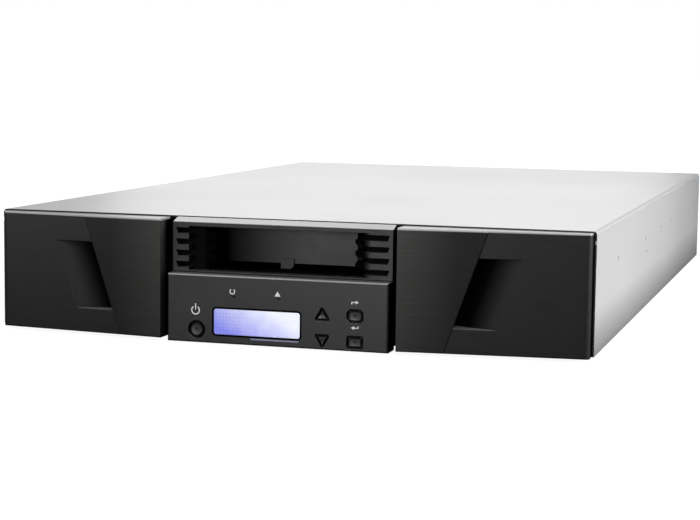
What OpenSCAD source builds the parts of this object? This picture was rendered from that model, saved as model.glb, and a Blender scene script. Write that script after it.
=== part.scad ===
// Data tape library, two rack units high.
// X runs to the right, Y to the back, Z up. The origin is on the ground under the middle of the object.
// Most sub-parts are drawn in the case's own frame: the case's front edge is y = 0, its underside is z = 0.

/* [Case] */
// Thickness of the cover sheet
cover_t = 1.2; // [0.8:0.1:1.4]
// Outer radius of the cover's long bends
cover_bend = 2.6; // [2:0.2:4]
// Thickness of the base pan and the inner walls
pan_t = 1; // [0.8:0.1:1.2]
// Gap between the cover and the pan
cover_gap = 0.3; // [0.2:0.05:0.5]
// Radius of a foot
foot_r = 9; // [6:1:14]
// Height of a foot
foot_h = 3; // [2.6:0.2:6]
// Distance of a foot's centre from the sides and ends
foot_inset = 55; // [45:1:80]
// Radius of the rack rail's screw holes in the sides
rail_hole_r = 2; // [1.6:0.1:2.5]
// Height of the rail holes above the underside
rail_hole_z = 58; // [50:1:70]

/* [Cartridge] */
// Width of a tape cartridge, along the magazine
cart_w = 102; // [100:0.5:104]
// Length of a tape cartridge, across the magazine
cart_l = 105.4; // [103:0.2:107]
// Thickness of a tape cartridge
cart_t = 21.5; // [20:0.5:23]

/* [Magazine] */
// Width of the toothed belt
belt_w = 4; // [3:0.5:5]
// Thickness of the belt
belt_t = 1.5; // [1:0.1:2]
// Gap that moving pieces of the magazine keep
play = 1; // [0.8:0.1:1.2]
// Wall of the magazine tray
tray_t = 1.5; // [1.2:0.1:2]
// Vertical distance between the upper and lower row of carriers
row_pitch = 43; // [41:0.5:44]
// Gap between the magazine and the walls of its bay
bay_play = 3; // [2.6:0.1:3.4]

/* [Faces] */
// How far a face stands in front of the case at its inner edge
face_proud = 20; // [17:0.5:21]
// How far it stands in front at its outer edge
face_outer_proud = 6; // [5:0.5:10]
// Wall of the moulded face
face_t = 3; // [2.4:0.1:3.4]
// Height of a face's lowest point over the case's underside
face_foot = -0.6; // [-1:0.1:2]
// Radius of the rounded top edge
face_round = 2; // [1:0.2:2.6]
// Radius of the rounded outer edge
face_corner = 4.5; // [3:0.5:5.5]
// Lean of the crease and the finger pull from upright
crease_lean = 19.24; // [14:0.5:22]
// Distance of the crease's foot from the inner edge
crease_foot = 33.5; // [30:0.5:38]
// Step down at the crease
crease_step = 0.65; // [0.4:0.05:1.5]
// Width over which the step fades out
crease_fade = 78; // [60:1:90]
// Width of the finger pull
pull_w = 30; // [26:1:34]
// Depth of the finger pull at its wall
pull_deep = 16; // [12:0.5:16.5]
// Lower and upper ends of the finger pull
pull_z0 = 17; // [14:1:22]
pull_z1 = 66.5; // [60:0.5:70]

/* [Mail slot] */
// How far the bezel stands in front of the case
bezel_proud = 9.5; // [8:0.5:11]
// Height by which the bezel's top falls towards its front
bezel_fall = 3.1; // [1:0.1:3.4]
// Height at which the bezel begins
bezel_z0 = 47.6; // [47.4:0.1:48.5]
// Distance of the mouth's upper edge from the top of the cover
mouth_rim = 6.4; // [6:0.2:7]
// Left and right ends of the mouth
mouth_left = 70.3; // [66:0.1:72]
mouth_right = 60.2; // [59.5:0.1:64]
// Height of one slot of the comb, and distance from slot to slot
comb_slot = 4.1; // [3:0.1:5]
comb_pitch = 8.15; // [7.5:0.05:8.4]
// Number of slots in each comb
comb_slots = 4; // [3:1:4]
// Height of the door's lower edge
door_z0 = 54.5; // [53:0.5:60]
// Thickness of the door
door_t = 1.5; // [1.2:0.1:2]
// Radius of the door's hinge pin
pin_r = 1; // [0.8:0.1:1.2]

/* [Control panel] */
// Height of the panel's upper edge
panel_top = 47; // [46:0.2:47.2]
// How far the panel hangs below the case
panel_drop = 2.2; // [1:0.1:2.4]
// Wall of the panel housing
panel_t = 2.5; // [2:0.1:3]
// Depth of the panel housing
panel_deep = 17; // [15:0.5:18.5]
// Side, top and bottom walls of the panel housing
panel_skin = 1.2; // [1:0.1:1.4]
// Chamfer round the panel's front
panel_chamfer = 1; // [0.4:0.1:1.4]
// Travel of a key
key_travel = 1; // [0.6:0.1:1.2]
// How much larger a key's opening is than the key's outline
key_gap = 0.35; // [0.25:0.05:0.5]
// How much smaller the visible cap is than the key's outline
cap_inset = 0.9; // [0.4:0.1:1.2]
// Radius of the power button's opening and of its cap
power_r = 6.6; // [6:0.1:6.8]
power_cap_r = 4.8; // [4:0.1:5.4]
// Left edge, right edge, lower edge and upper edge of the display window
window_x0 = -46.9; // [-47.5:0.1:-45]
window_x1 = 18.1; // [14:0.1:20]
window_z0 = 4.4; // [4:0.1:6]
window_z1 = 23.1; // [20:0.1:24]

/* [Picker] */
// Radius of a guide rod
rod_r = 4; // [3:0.1:4.5]
// Module of the gears
gear_m = 1.5; // [1.4:0.05:1.55]
// Teeth of a motor pinion
pinion_teeth = 12; // [12:1:13]
// Teeth of the turntable's gear
table_teeth = 56; // [52:1:58]
// Running clearance between a shaft and its bore
run_gap = 0.05; // [0.02:0.01:0.09]
// Radius of the turntable's pivot
pivot_r = 8; // [6:0.5:9]
// Free travel of each stage of the gripper
stage_travel = 40; // [30:1:42]

/* [Rear] */
// Width, depth and height of the tape drive
drive_w = 146; // [144:0.5:148]
drive_d = 200; // [190:1:203]
drive_h = 81; // [80:0.2:81.4]
// Width and depth of the power supply
supply_w = 114; // [110:1:116]
supply_d = 150; // [140:1:155]
// Side and depth of the fan
fan_side = 60; // [50:1:62]
fan_d = 25; // [15:1:28]
// How far the drive's handle stands out at the rear
handle_proud = 10; // [8:0.5:14]
// Number of blades of the fan
fan_blades = 7; // [5:1:9]

/* [Hidden] */
$fn = 48;
// Extra length by which a cutter passes through a wall
cut = 1;

// Rows of carriers and height of the case, which has to hold both rows and the drive
drive_z = 2.4;
case_h = max(row_pitch + cart_t + 22.5, drive_z + drive_h + 2.4 + cover_t);
loop_z = case_h / 2;                           // height of a magazine's loop centre
loop_r = row_pitch / 2;
rows = [loop_z - loop_r, loop_z + loop_r];
roof_z = case_h - cover_t;                     // underside of the cover
pan_top = roof_z - 1.8;                        // upper edge of the pan's sides
cover_front = 0.6;
frame_d = 6;                                   // depth of the black front frame

// Widths, counted outwards from the drive in the middle: bay wall, magazine, pan, cover
bay_half = drive_w / 2 + 17;                   // half the width of the centre bay
bay_x = bay_half + 1.5;                        // outer side of a bay wall
mag_in = bay_x + bay_play - 0.5;
shell_t = 1.5;                                 // wall of a carrier
shell_l = cart_l + 2 * shell_t + 0.6;
shell_x0 = mag_in + tray_t + play;
shell_x1 = shell_x0 + shell_l;
belt_x0 = shell_x1 + play;
gear_w = 4;
gear_x0 = belt_x0 + belt_w + play;
mag_out = gear_x0 + gear_w + play + tray_t;
supply_gap = 3;                                // room on each side of the power supply
// Inner side of the pan: both the magazine and the supply fit beside the bay wall
pan_in = max(mag_out + bay_play, bay_x + supply_w + 2 * supply_gap);
pan_x = pan_in + pan_t;                        // outer side of the pan
case_w = 2 * (pan_x + cover_gap + cover_t);    // 447 mm, the width between rack rails

// Lengths, counted backwards along a magazine
mag_y0 = frame_d + 1.4;                        // front of the tray
carrier_w = cart_w + 2 * shell_t;
carrier_pitch = carrier_w + play;
// The ends of the loop leave room for a carrier to swing round
loop_y0 = mag_y0 + tray_t + 2.3 + carrier_w / 2 + loop_r;
loop_len = (8 * carrier_pitch - 2 * PI * loop_r) / 2;
loop_y1 = loop_y0 + loop_len;
mag_y1 = loop_y1 + loop_r + carrier_w / 2 + 2.3 + tray_t;
row_y0 = (loop_y0 + loop_y1) / 2 - 1.5 * carrier_pitch;
tray_z0 = 2.2;
tray_z1 = pan_top - 0.6;
pulley_teeth = 28;
idler_teeth = 36;
pinion_r = gear_m * pinion_teeth / 2;
pulley_r = gear_m * pulley_teeth / 2;
idler_r = gear_m * idler_teeth / 2;
idler_y = loop_y1 + pulley_r + idler_r;
motor_y = idler_y + idler_r + pinion_r;        // motor pinion, behind the idler
axle_r = 3;
motor_l = 44;

// The case is as deep as the longer of its two rows: picker bed and drive, or magazine and supply
bed_y0 = 68;
bed_y1 = 446;
sled_d = 56;                                   // depth of the sled behind the drive
case_d = ceil(max(bed_y1 + 9 + drive_d + sled_d, motor_y + pinion_r + 24 + supply_d + pan_t));
front_y = -(case_d + face_proud + handle_proud) / 2 + face_proud;
rear_y = case_d - pan_t;
rail_front_y = [108, 268];                     // rail holes, front pair and rear pair
rail_rear_y = [445, 640];
nut_r = 4.2;
nut_l = 2;

// Faces
face_in = bay_half - 1.8;
face_out = case_w / 2 - 2.2;
face_top = case_h - 1;
face_back = -0.8;
face_slope = atan((face_proud - face_outer_proud) / (face_out - face_in));
pull_x = crease_foot * cos(crease_lean);       // distance of the crease from the face's foot, square to it
pull_across = pull_w * cos(crease_lean);
pull_wall = 2;
pull_flat = 2;                                 // flat stretch of the floor before it rises
pull_shallow = 0.8;                            // depth at the outer end of the floor

// Mail slot
centre_half = face_in - 5.6;                   // half width of the bezel and the panel
mouth_top = case_h - mouth_rim;
hinge_y = 10;
hinge_z = mouth_top + 0.6;
door_half = cart_w / 2 + 1;
guide_half = door_half + 8.7;
guide_z = bezel_z0 + 0.2;
guide_roof = roof_z - 2.6;
guide_t = 1.2;
guide_y1 = 62;
comb_z = mouth_top - 1.3 - comb_slot / 2;      // middle of the uppermost slot
door_barrel = pin_r + 1.1;
tab_half = 5;
tab_drop = 4;

// Control panel
panel_y0 = -face_proud;
panel_y1 = panel_y0 + panel_deep;
panel_in = panel_y0 + panel_t;
board_y = panel_y0 + 12.6;
key_z_low = 4.2;
key_z_high = 22.8;
arrow_x = 34.5;
word_x = 58.6;
power_x = -60;
power_z = 7.3;
key_back = board_y - 3.6 - key_travel - 0.2;

// Picker
picker_y = 260;                                // centre of the turntable at rest
rod_x = bay_half - 20;                         // distance of a guide rod from the middle
rod_z = 29;
carriage_z = 35.5;
carriage_t = 4;
carriage_half = 50;
table_r = gear_m * table_teeth / 2;
gear_z = carriage_z + carriage_t + 1.6;        // underside of the turntable's gear
table_gear_t = 5;
table_z = gear_z + table_gear_t;
slot_half = cart_w / 2 + 1.2;                  // half the width of the cartridge's way
table_half = cart_l / 2 + 2.3;
floor_z = rows[1] - cart_t / 2 - 0.4;          // what a cartridge slides on
rack_x = -40;                                  // pitch line of the rack
travel_at = [rack_x + pinion_r, 30];
turn_at = [(table_r + pinion_r) * cos(-50), (table_r + pinion_r) * sin(-50)];
stepper = 35;
bush_l = 14;
bush_y = 34;
grip_x = slot_half + 3.4;

// Rear
drive_y1 = case_d - sled_d;
drive_y0 = drive_y1 - drive_d;
sled_half = drive_w / 2 + 1;
supply_x = -(pan_in - supply_gap - supply_w / 2);
supply_z = pan_t;
supply_h = roof_z - 2.4 - supply_z;
inlet_at = [supply_x + 30, 31];
switch_at = [supply_x + 30, 62];
fan_x = pan_in - 8 - fan_side / 2;
fan_z = 44;
fan_y0 = rear_y - fan_d;
hub_r = 11;
board_x = [bay_x + 4, bay_x + 56];
board_z = 8;
board_y0 = rear_y - 120;
cable_turn = board_y0 + 26;                    // where the ribbon cable turns to the controller

// ---------- Frames and profiles ----------

// The case's own frame
module in_case() { translate([0, front_y, foot_h]) children(); }

// The right side as drawn, or its mirror image on the left
module on_side(side) {
    if (side > 0) children();
    else mirror([1, 0, 0]) children();
}

// A profile in y and z, carried along x
module across(x0, x1) { translate([x0, 0, 0]) rotate([90, 0, 90]) linear_extrude(x1 - x0) children(); }

// A profile in x and z, carried along y
module along(y0, y1) { translate([0, y1, 0]) rotate([90, 0, 0]) linear_extrude(y1 - y0) children(); }

// A profile in x and y, carried upwards
module upward(z0, z1) { translate([0, 0, z0]) linear_extrude(z1 - z0) children(); }

// A box between two corners
module block(a, b) { translate(a) cube(b - a); }

// A rectangle between two corners
module plate2(a, b) { translate(a) square(b - a); }

// A rectangle between two corners with round corners
module round2(a, b, r) {
    plate2(a + [r, 0], b - [r, 0]);
    plate2(a + [0, r], b - [0, r]);
    for (x = [a[0] + r, b[0] - r], y = [a[1] + r, b[1] - r]) translate([x, y]) circle(r);
}

// An upright slot with half-round ends
module slot2(x, y0, y1, r) {
    plate2([x - r, y0 + r], [x + r, y1 - r]);
    for (y = [y0 + r, y1 - r]) translate([x, y]) circle(r);
}

// ---------- Gears ----------

// Involute function, in degrees
function involute(angle) = tan(angle) * 180 / PI - angle;

// Half the angle that a tooth spans at one radius
function tooth_half(radius, pitch_r, teeth) =
    90 / teeth * (1 - gear_backlash) + involute(20)
    - involute(acos(min(1, pitch_r * cos(20) / radius)));
gear_backlash = 0.09;

// A spur gear's outline with one tooth pointing along +X before it is turned
module gear2(teeth, turn = 0) {
    pitch_r = gear_m * teeth / 2;
    radii = [pitch_r - 1.2 * gear_m, pitch_r * 0.985, pitch_r + 0.45 * gear_m, pitch_r + 0.92 * gear_m];
    polygon([for (i = [0 : teeth - 1], side = [-1, 1], k = [0 : 3])
        let (radius = radii[side < 0 ? k : 3 - k],
             a = turn + i * 360 / teeth + side * tooth_half(radius, pitch_r, teeth))
        radius * [cos(a), sin(a)]]);
}

// A rack's outline: teeth towards +X, the pitch line at x = 0, a gap at y = 0
module rack2(y0, y1, back) {
    tooth = PI * gear_m;
    tip = gear_m * 0.92;
    root = -gear_m * 1.2;
    half = tooth / 4 * (1 - gear_backlash);
    first = ceil(y0 / tooth);
    last = floor(y1 / tooth) - 1;
    polygon(concat([[back, y0], [root, y0]],
        [for (i = [first : last], k = [0 : 3])
            let (side = k < 2 ? -1 : 1, x = k == 0 || k == 3 ? root : tip)
            [x, (i + 0.5) * tooth + side * (half - x * tan(20))]],
        [[root, y1], [back, y1]]));
}

// ---------- Case ----------

// Section of the cover: an upturned U with round bends
module cover2(inset, bend) {
    half = case_w / 2 - inset;
    top = case_h - inset;
    plate2([-half, -cut * inset], [half, top - bend]);
    plate2([-half + bend, 0], [half - bend, top]);
    for (x = [-half + bend, half - bend]) translate([x, top - bend]) circle(bend);
}

module rail_holes(x0, x1, r) {
    for (y = concat(rail_front_y, rail_rear_y)) translate([0, y, rail_hole_z]) rotate([0, 90, 0])
        translate([0, 0, x0]) cylinder(r = r, h = x1 - x0);
}

// A small raised lance in the side sheet, left open at its front
module lance(y, z) {
    translate([case_w / 2 - cover_t - cut, y, z]) cube([cover_t + 2 * cut, 5, 1.2]);
}

module top_cover() color("gainsboro") in_case() difference() {
    along(cover_front, case_d) difference() {
        cover2(0, cover_bend);
        cover2(cover_t, cover_bend - cover_t);
    }
    block([-case_w, -cut, -case_h], [case_w, case_d + cut, 0.4]);
    for (side = [-1, 1]) on_side(side) {
        rail_holes(case_w / 2 - cover_t - cut, case_w / 2 + cut, rail_hole_r);
        lance(275, rail_hole_z - 12);
        lance(372, rail_hole_z);
        // Notch in the front edge
        block([case_w / 2 - cover_t - cut, -cut, case_h - 9],
              [case_w / 2 + cut, cover_front + 1.4, case_h - 6.5]);
    }
}

// Section of the pan: a U with tight bends
module pan2(inset, bend) {
    half = pan_x - inset;
    plate2([-half, inset + bend], [half, pan_top + cut * inset]);
    plate2([-half + bend, inset], [half - bend, pan_top]);
    for (x = [-half + bend, half - bend]) translate([x, inset + bend]) circle(bend);
}

module chassis_base() color("silver") in_case() {
    difference() {
        along(frame_d, rear_y) difference() {
            pan2(0, 1.6);
            pan2(pan_t, 0.6);
        }
        for (side = [-1, 1]) on_side(side) rail_holes(pan_in - cut, pan_x + cut, rail_hole_r);
        // Air slots under the power supply and the controller
        for (side = [-1, 1], i = [0 : 5]) translate([side * (bay_x + 30 + i * 14), rear_y - 110, 0])
            upward(-cut, pan_t + cut) slot2(0, 0, 60, 1.6);
        for (x = [-1, 1], y = [foot_inset, case_d - foot_inset])
            translate([x * (case_w / 2 - foot_inset), y, -cut]) cylinder(r = 1.6, h = pan_t + 2 * cut);
    }
    // Runners on which the magazines slide
    for (side = [-1, 1], x = [mag_in + 8, mag_out - 14]) on_side(side)
        block([x, frame_d + 4, pan_t], [x + 6, mag_y1, tray_z0 - 0.2]);
    // Press nuts behind the rail holes
    for (side = [-1, 1]) on_side(side) for (y = concat(rail_front_y, rail_rear_y))
        translate([pan_in - nut_l, y, rail_hole_z]) rotate([0, 90, 0]) difference() {
            cylinder(r = nut_r, h = nut_l);
            translate([0, 0, -cut]) cylinder(r = rail_hole_r, h = nut_l + 2 * cut);
        }
}

module rear_panel() color("silver") in_case() {
    half = pan_in - 0.2;
    difference() {
        union() {
            along(rear_y, case_d) {
                plate2([-pan_x, pan_t], [pan_x, roof_z - cover_bend]);
                plate2([-pan_x + 1.4, pan_t], [pan_x - 1.4, roof_z - 0.3]);
            }
            // Side flanges inside the pan
            for (side = [-1, 1]) on_side(side)
                block([half - pan_t, rear_y - 12, pan_t + 1], [half, rear_y, roof_z - 4]);
        }
        // Window of the power supply
        along(rear_y - cut, case_d + cut)
            plate2([supply_x - supply_w / 2 + 3, supply_z + 3],
                   [supply_x + supply_w / 2 - 3, supply_z + supply_h - 3]);
        // Bay of the drive sled
        along(rear_y - 20, case_d + cut) plate2([-sled_half - 2, 3.4], [sled_half + 2, roof_z - 3]);
        // Grille of the fan: rings of holes round a solid middle
        translate([fan_x, 0, fan_z]) along(rear_y - cut, case_d + cut)
            for (r = [1 : 4], i = [0 : 6 * r - 1])
                rotate(i * 60 / r) translate([r * (fan_side - 10) / 9, 0]) circle(2, $fn = 6);
        // Window of the controller's port plate
        along(rear_y - cut, case_d + cut) plate2(port_plate[0] - [port_gap, port_gap],
                                                 port_plate[1] + [port_gap, port_gap]);
        for (p = rear_screw_at) translate([p[0], case_d + cut, p[1]]) rotate([90, 0, 0])
            cylinder(r = 1.6, h = pan_t + 2 * cut);
    }
}

// Ports on the controller (network, data, service): place, width, height; they stand on the board
ports = [[board_x[0] + 10, 16, 13.5], [board_x[0] + 29, 14.6, 7.4], [board_x[0] + 46, 13, 13]];
port_z = board_z + pan_t + 0.6;
port_gap = 0.4;
// Corners of the plate that frames the ports
port_plate = [[board_x[0], port_z - 1.4], [board_x[1] + 1.4, port_z + 15]];
rear_screw_at = [for (x = [-pan_in + 6, -bay_half + 4, bay_half - 4, pan_in - 6]) [x, roof_z - 3.4]];

module front_frame() color([0.06, 0.06, 0.06]) in_case() difference() {
    along(0, frame_d) {
        plate2([-pan_x + 0.2, 0.2], [pan_x - 0.2, roof_z - 4]);
        round2([-pan_x + 0.2, 20], [pan_x - 0.2, roof_z - 0.4], 3.4);
    }
    // Openings of the two magazine bays
    for (side = [-1, 1]) on_side(side)
        block([bay_x + 0.2, -cut, tray_z0 - 0.6], [mag_out + 1.2, frame_d + cut, tray_z1 + 0.8]);
    // Opening behind the mail slot and the panel
    block([-guide_half - 0.4, -cut, 3], [guide_half + 0.4, frame_d + cut, roof_z - 2.2]);
}

module bay_walls() color("silver") in_case() for (side = [-1, 1]) on_side(side) {
    difference() {
        union() {
            block([bay_half, frame_d, pan_t], [bay_x, rear_y - 14, roof_z]);
            block([bay_half - 9, frame_d, pan_t], [bay_half, rear_y - 14, pan_t + 1.2]);
        }
        // Windows through which the cartridges pass
        for (i = [0 : 3]) {
            y = row_y0 + i * carrier_pitch;
            across(bay_half - cut, bay_x + cut)
                round2([y - carrier_w / 2 + 2, floor_z - 5],
                       [y + carrier_w / 2 - 2, rows[1] + cart_t / 2 + 4], 3);
        }
        // Air slots beside the drive
        for (i = [0 : 11]) across(bay_half - cut, bay_x + cut)
            slot2(drive_y0 + 22 + i * 14, 20, 62, 2);
        // Way for the ribbon cable
        block([bay_half - 10, cable_turn - 12, 0], [bay_x + cut, cable_turn + 12, 4.4]);
    }
}

module rubber_feet() color([0.1, 0.1, 0.1]) translate([0, front_y, 0])
    for (side = [-1, 1], y = [foot_inset, case_d - foot_inset])
        translate([side * (case_w / 2 - foot_inset), y, 0]) {
        cylinder(r1 = foot_r - 1, r2 = foot_r, h = foot_h);
        translate([0, 0, foot_h]) cylinder(r = 1.5, h = pan_t);
    }

module rear_screws() color("gainsboro") in_case() for (p = rear_screw_at)
    translate([p[0], case_d, p[1]]) rotate([-90, 0, 0]) difference() {
        union() {
            cylinder(r = 3, h = 1.2);
            translate([0, 0, 1.2]) cylinder(r1 = 3, r2 = 2, h = 0.8);
            translate([0, 0, -pan_t]) cylinder(r = 1.5, h = pan_t);
        }
        for (a = [0, 90]) rotate(a) translate([-1.6, -0.3, 1]) cube([3.2, 0.6, 2]);
    }

// ---------- Magazine faces ----------

// Plan of a face: straight front that slopes back outwards, round outer corner
module face2(inset, back) {
    s = face_slope;
    x0 = face_in + inset;
    x1 = face_out - inset;
    r = face_corner - inset * 0.5;
    cx = x1 - r;
    front = function (x, off) -face_proud + off / cos(s) + (x - face_in) * tan(s);
    cy = front(cx, inset + r);
    polygon([[x0, front(x0, inset)], [cx + r * sin(s), cy - r * cos(s)], [cx, cy], [x1, cy],
        [x1, back], [x0, back]]);
    intersection() {
        translate([cx, cy]) circle(r);
        plate2([cx - r, cy - r], [x1, back]);
    }
}

// Moves to the face's own frame: x along the face, y into it
module on_face() { translate([face_in, -face_proud, 0]) rotate([0, 0, face_slope]) children(); }

// A profile across the crease, carried along the leaning crease
module along_crease() {
    on_face() rotate([0, crease_lean, 0]) translate([pull_x, 0, -60]) linear_extrude(220) children();
}

// Section of the finger pull: an upright wall at the crease and a floor that rises outwards
module pull2(grow) {
    mouth = grow > 0 ? 1 : -6;
    polygon([[-grow, mouth], [-grow, pull_deep + grow], [pull_flat, pull_deep + grow],
        [pull_across + grow, pull_shallow + grow], [pull_across + grow, mouth]]);
}

module pull(grow) {
    intersection() {
        along_crease() pull2(grow);
        block([0, -60, pull_z0 - grow], [case_w, 60, pull_z1 + grow]);
    }
}

module magazine_front(side) color([0.15, 0.15, 0.16]) in_case() on_side(side) {
    difference() {
        union() {
            difference() {
                intersection() {
                    upward(face_foot, face_top) face2(0, face_back);
                    on_face() across(-20, case_w) {
                        plate2([face_round, face_foot], [60, face_top]);
                        plate2([0, face_foot + 1], [60, face_top - face_round]);
                        translate([face_round, face_top - face_round]) circle(face_round);
                        translate([1, face_foot + 1]) circle(1);
                    }
                }
                // Hollow behind the face
                upward(face_foot + face_t, face_top - face_t) face2(face_t, cut);
            }
            // Wall round the finger pull, passing back through the frame's opening
            intersection() {
                pull(pull_wall);
                block([0, -60, 0], [case_w, mag_y0, case_h]);
            }
            // Two ribs that carry the face on the tray
            intersection() {
                for (x = [bay_x + 6, mag_out - 9])
                    block([x, -60, tray_z0 + 4], [x + 3, mag_y0, tray_z1 - 4]);
                upward(face_foot, face_top) face2(face_t / 2, mag_y0);
            }
        }
        pull(0);
        // The ramp that steps down at the crease and fades out
        along_crease() polygon([[0, -4], [0, crease_step], [crease_fade, 0], [crease_fade, -4]]);
    }
}

// ---------- Magazine ----------

module magazine_tray(side) color("silver") in_case() on_side(side) difference() {
    union() {
        // Floor, outer wall, front and rear plates, low inner wall
        block([mag_in, mag_y0, tray_z0], [mag_out, mag_y1, tray_z0 + tray_t]);
        block([mag_out - tray_t, mag_y0, tray_z0], [mag_out, mag_y1, tray_z1]);
        block([mag_in, mag_y0, tray_z0], [mag_out, mag_y0 + tray_t, tray_z1]);
        block([mag_in, mag_y1 - tray_t, tray_z0], [mag_out, mag_y1, tray_z1]);
        block([mag_in, mag_y0, tray_z0], [mag_in + tray_t, mag_y1, floor_z - 6]);
        // Upper rail on the inner side
        block([mag_in, mag_y0, rows[1] + cart_t / 2 + 4], [mag_in + tray_t, mag_y1, tray_z1]);
        // Axles of the pulleys and the idler
        for (y = [loop_y0, loop_y1, idler_y]) translate([0, y, loop_z]) rotate([0, 90, 0])
            translate([0, 0, y == idler_y ? gear_x0 - 0.6 : belt_x0 - 0.4])
                cylinder(r = axle_r, h = mag_out - tray_t - (y == idler_y ? gear_x0 - 0.6 : belt_x0 - 0.4));
    }
    // Windows in the outer wall, one for each place of the row
    for (i = [0 : 3], z = rows) across(mag_out - tray_t - cut, mag_out + cut)
        round2([row_y0 + i * carrier_pitch - 22, z - 6], [row_y0 + i * carrier_pitch + 22, z + 6], 4);
    // Slots in the floor that lighten it
    for (i = [0 : 3]) upward(tray_z0 - cut, tray_z0 + tray_t + cut)
        round2([mag_in + 22, row_y0 + i * carrier_pitch - 34],
               [mag_out - 30, row_y0 + i * carrier_pitch + 34], 6);
    // Way for the idler's teeth, the motor pinion and the motor
    block([gear_x0 - motor_l - 6, mag_y1 - tray_t - cut, loop_z - 14],
          [gear_x0 + gear_w + play, mag_y1 + cut, loop_z + 14]);
}

// One carrier, drawn round the middle of its cartridge
module carrier() {
    hx = shell_l / 2;
    hy = carrier_w / 2;
    low = -cart_t / 2 - shell_t;
    difference() {
        block([-hx, -hy, low], [hx, hy, -cart_t / 2]);
        upward(low - cut, -cart_t / 2 + cut) round2([-hx + 16, -hy + 18], [hx - 20, hy - 18], 8);
    }
    for (s = [-1, 1]) difference() {
        block([-hx, s > 0 ? hy - shell_t : -hy, low], [hx, s > 0 ? hy : -hy + shell_t, 3]);
        across(-hx - cut, -hx + 20) plate2([-hy - cut, -2], [hy + cut, 4]);
    }
    block([hx - shell_t, -hy, low], [hx, hy, 3]);
    // Pin that takes the carrier to the belt
    translate([hx, 0, 0]) rotate([0, 90, 0]) cylinder(r = 2.4, h = play);
    block([hx - shell_t, -6, -4], [hx, 6, 5]);
}

module in_rows() {
    for (i = [0 : 3], z = rows)
        translate([(shell_x0 + shell_x1) / 2, row_y0 + i * carrier_pitch, z]) children();
}

module carriers(side) color([0.25, 0.25, 0.27]) in_case() on_side(side) in_rows() carrier();

// One tape cartridge: chamfered shell, grip ribs, label recess, leader door, side notch
module cartridge() {
    hx = cart_l / 2;
    hy = cart_w / 2;
    hz = cart_t / 2;
    difference() {
        intersection() {
            upward(-hz, hz) polygon([[-hx + 2, -hy], [hx - 8, -hy], [hx, -hy + 8], [hx, hy - 2], [hx - 2, hy],
                                     [-hx + 2, hy], [-hx, hy - 2], [-hx, -hy + 2]]);
            across(-hx, hx) polygon([[-hy + 0.8, -hz], [hy - 0.8, -hz], [hy, -hz + 0.8], [hy, hz - 0.8],
                                     [hy - 0.8, hz], [-hy + 0.8, hz], [-hy, hz - 0.8], [-hy, -hz + 0.8]]);
        }
        // Label recess at the end that faces the picker
        block([-hx - cut, -30, -hz + 3], [-hx + 0.6, 30, hz - 3]);
        // Notches that the gripper takes hold of
        for (s = [-1, 1]) translate([-hx + 12, s * hy, 0]) cube([6, 5, 9], center = true);
        // Recess of the upper face
        upward(hz - 0.5, hz + cut) round2([-hx + 26, -hy + 8], [hx - 10, hy - 8], 5);
        // Hub opening in the underside
        translate([6, 0, -hz - cut]) cylinder(r = 18, h = 3);
    }
}

module cartridges(side) color([0.2, 0.22, 0.26]) in_case() on_side(side) in_rows()
    translate([-shell_t / 2, 0, 0.02]) cartridge();

// The belt: two straight runs and two half turns, with ribs outside
module belt(side) color([0.05, 0.05, 0.05]) in_case() on_side(side) across(belt_x0, belt_x0 + belt_w) {
    outer = loop_r + belt_t / 2;
    difference() {
        loop2(outer);
        loop2(outer - belt_t);
    }
}

module loop2(r) {
    plate2([loop_y0, loop_z - r], [loop_y1, loop_z + r]);
    for (y = [loop_y0, loop_y1]) translate([y, loop_z]) circle(r, $fn = 72);
}

// A belt pulley: toothed rim inside the belt, spokes, hub on its axle
module pulley2() {
    rim = loop_r - belt_t / 2 - 0.3;
    difference() {
        circle(rim, $fn = 72);
        circle(axle_r + run_gap);
        for (i = [0 : 5]) rotate(i * 60 + 30) translate([rim * 0.58, 0]) circle(rim * 0.2);
        for (i = [0 : 23]) rotate(i * 15) translate([rim + 0.5, 0]) circle(1.2, $fn = 16);
    }
}

module front_pulley(side) color("ivory") in_case() on_side(side)
    across(belt_x0, belt_x0 + belt_w) translate([loop_y0, loop_z]) pulley2();

// The rear pulley carries a gear beside its rim
module rear_pulley(side) color("ivory") in_case() on_side(side) translate([0, loop_y1, loop_z]) {
    across(belt_x0, belt_x0 + belt_w) pulley2();
    across(belt_x0 + belt_w, gear_x0) difference() {
        circle(axle_r + 4);
        circle(axle_r + run_gap);
    }
    across(gear_x0, gear_x0 + gear_w) difference() {
        gear2(pulley_teeth);
        circle(axle_r + run_gap);
    }
}

// The idler has a gap towards the pulley and a tooth towards the motor pinion
module idler_gear(side) color("ivory") in_case() on_side(side)
    across(gear_x0, gear_x0 + gear_w) translate([idler_y, loop_z]) difference() {
        gear2(idler_teeth, 180 + 180 / idler_teeth);
        circle(axle_r + run_gap);
        for (i = [0 : 5]) rotate(i * 60) translate([idler_r * 0.56, 0]) circle(idler_r * 0.18);
    }

// Tooth phase of the motor pinion, facing the idler
idler_phase = 180 + 180 / idler_teeth;
idler_at_back = idler_phase - round(idler_phase / (360 / idler_teeth)) * 360 / idler_teeth;
pinion_phase = 180 + 180 / pinion_teeth - idler_at_back * idler_teeth / pinion_teeth;

module motor_pinion(side) color("goldenrod") in_case() on_side(side) translate([0, motor_y, loop_z]) {
    across(gear_x0 + 0.2, gear_x0 + gear_w - 0.2) gear2(pinion_teeth, pinion_phase);
    // Its shaft, in the motor's bearing
    across(gear_x0 - 12, gear_x0 + 0.2) circle(2.5);
}

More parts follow.
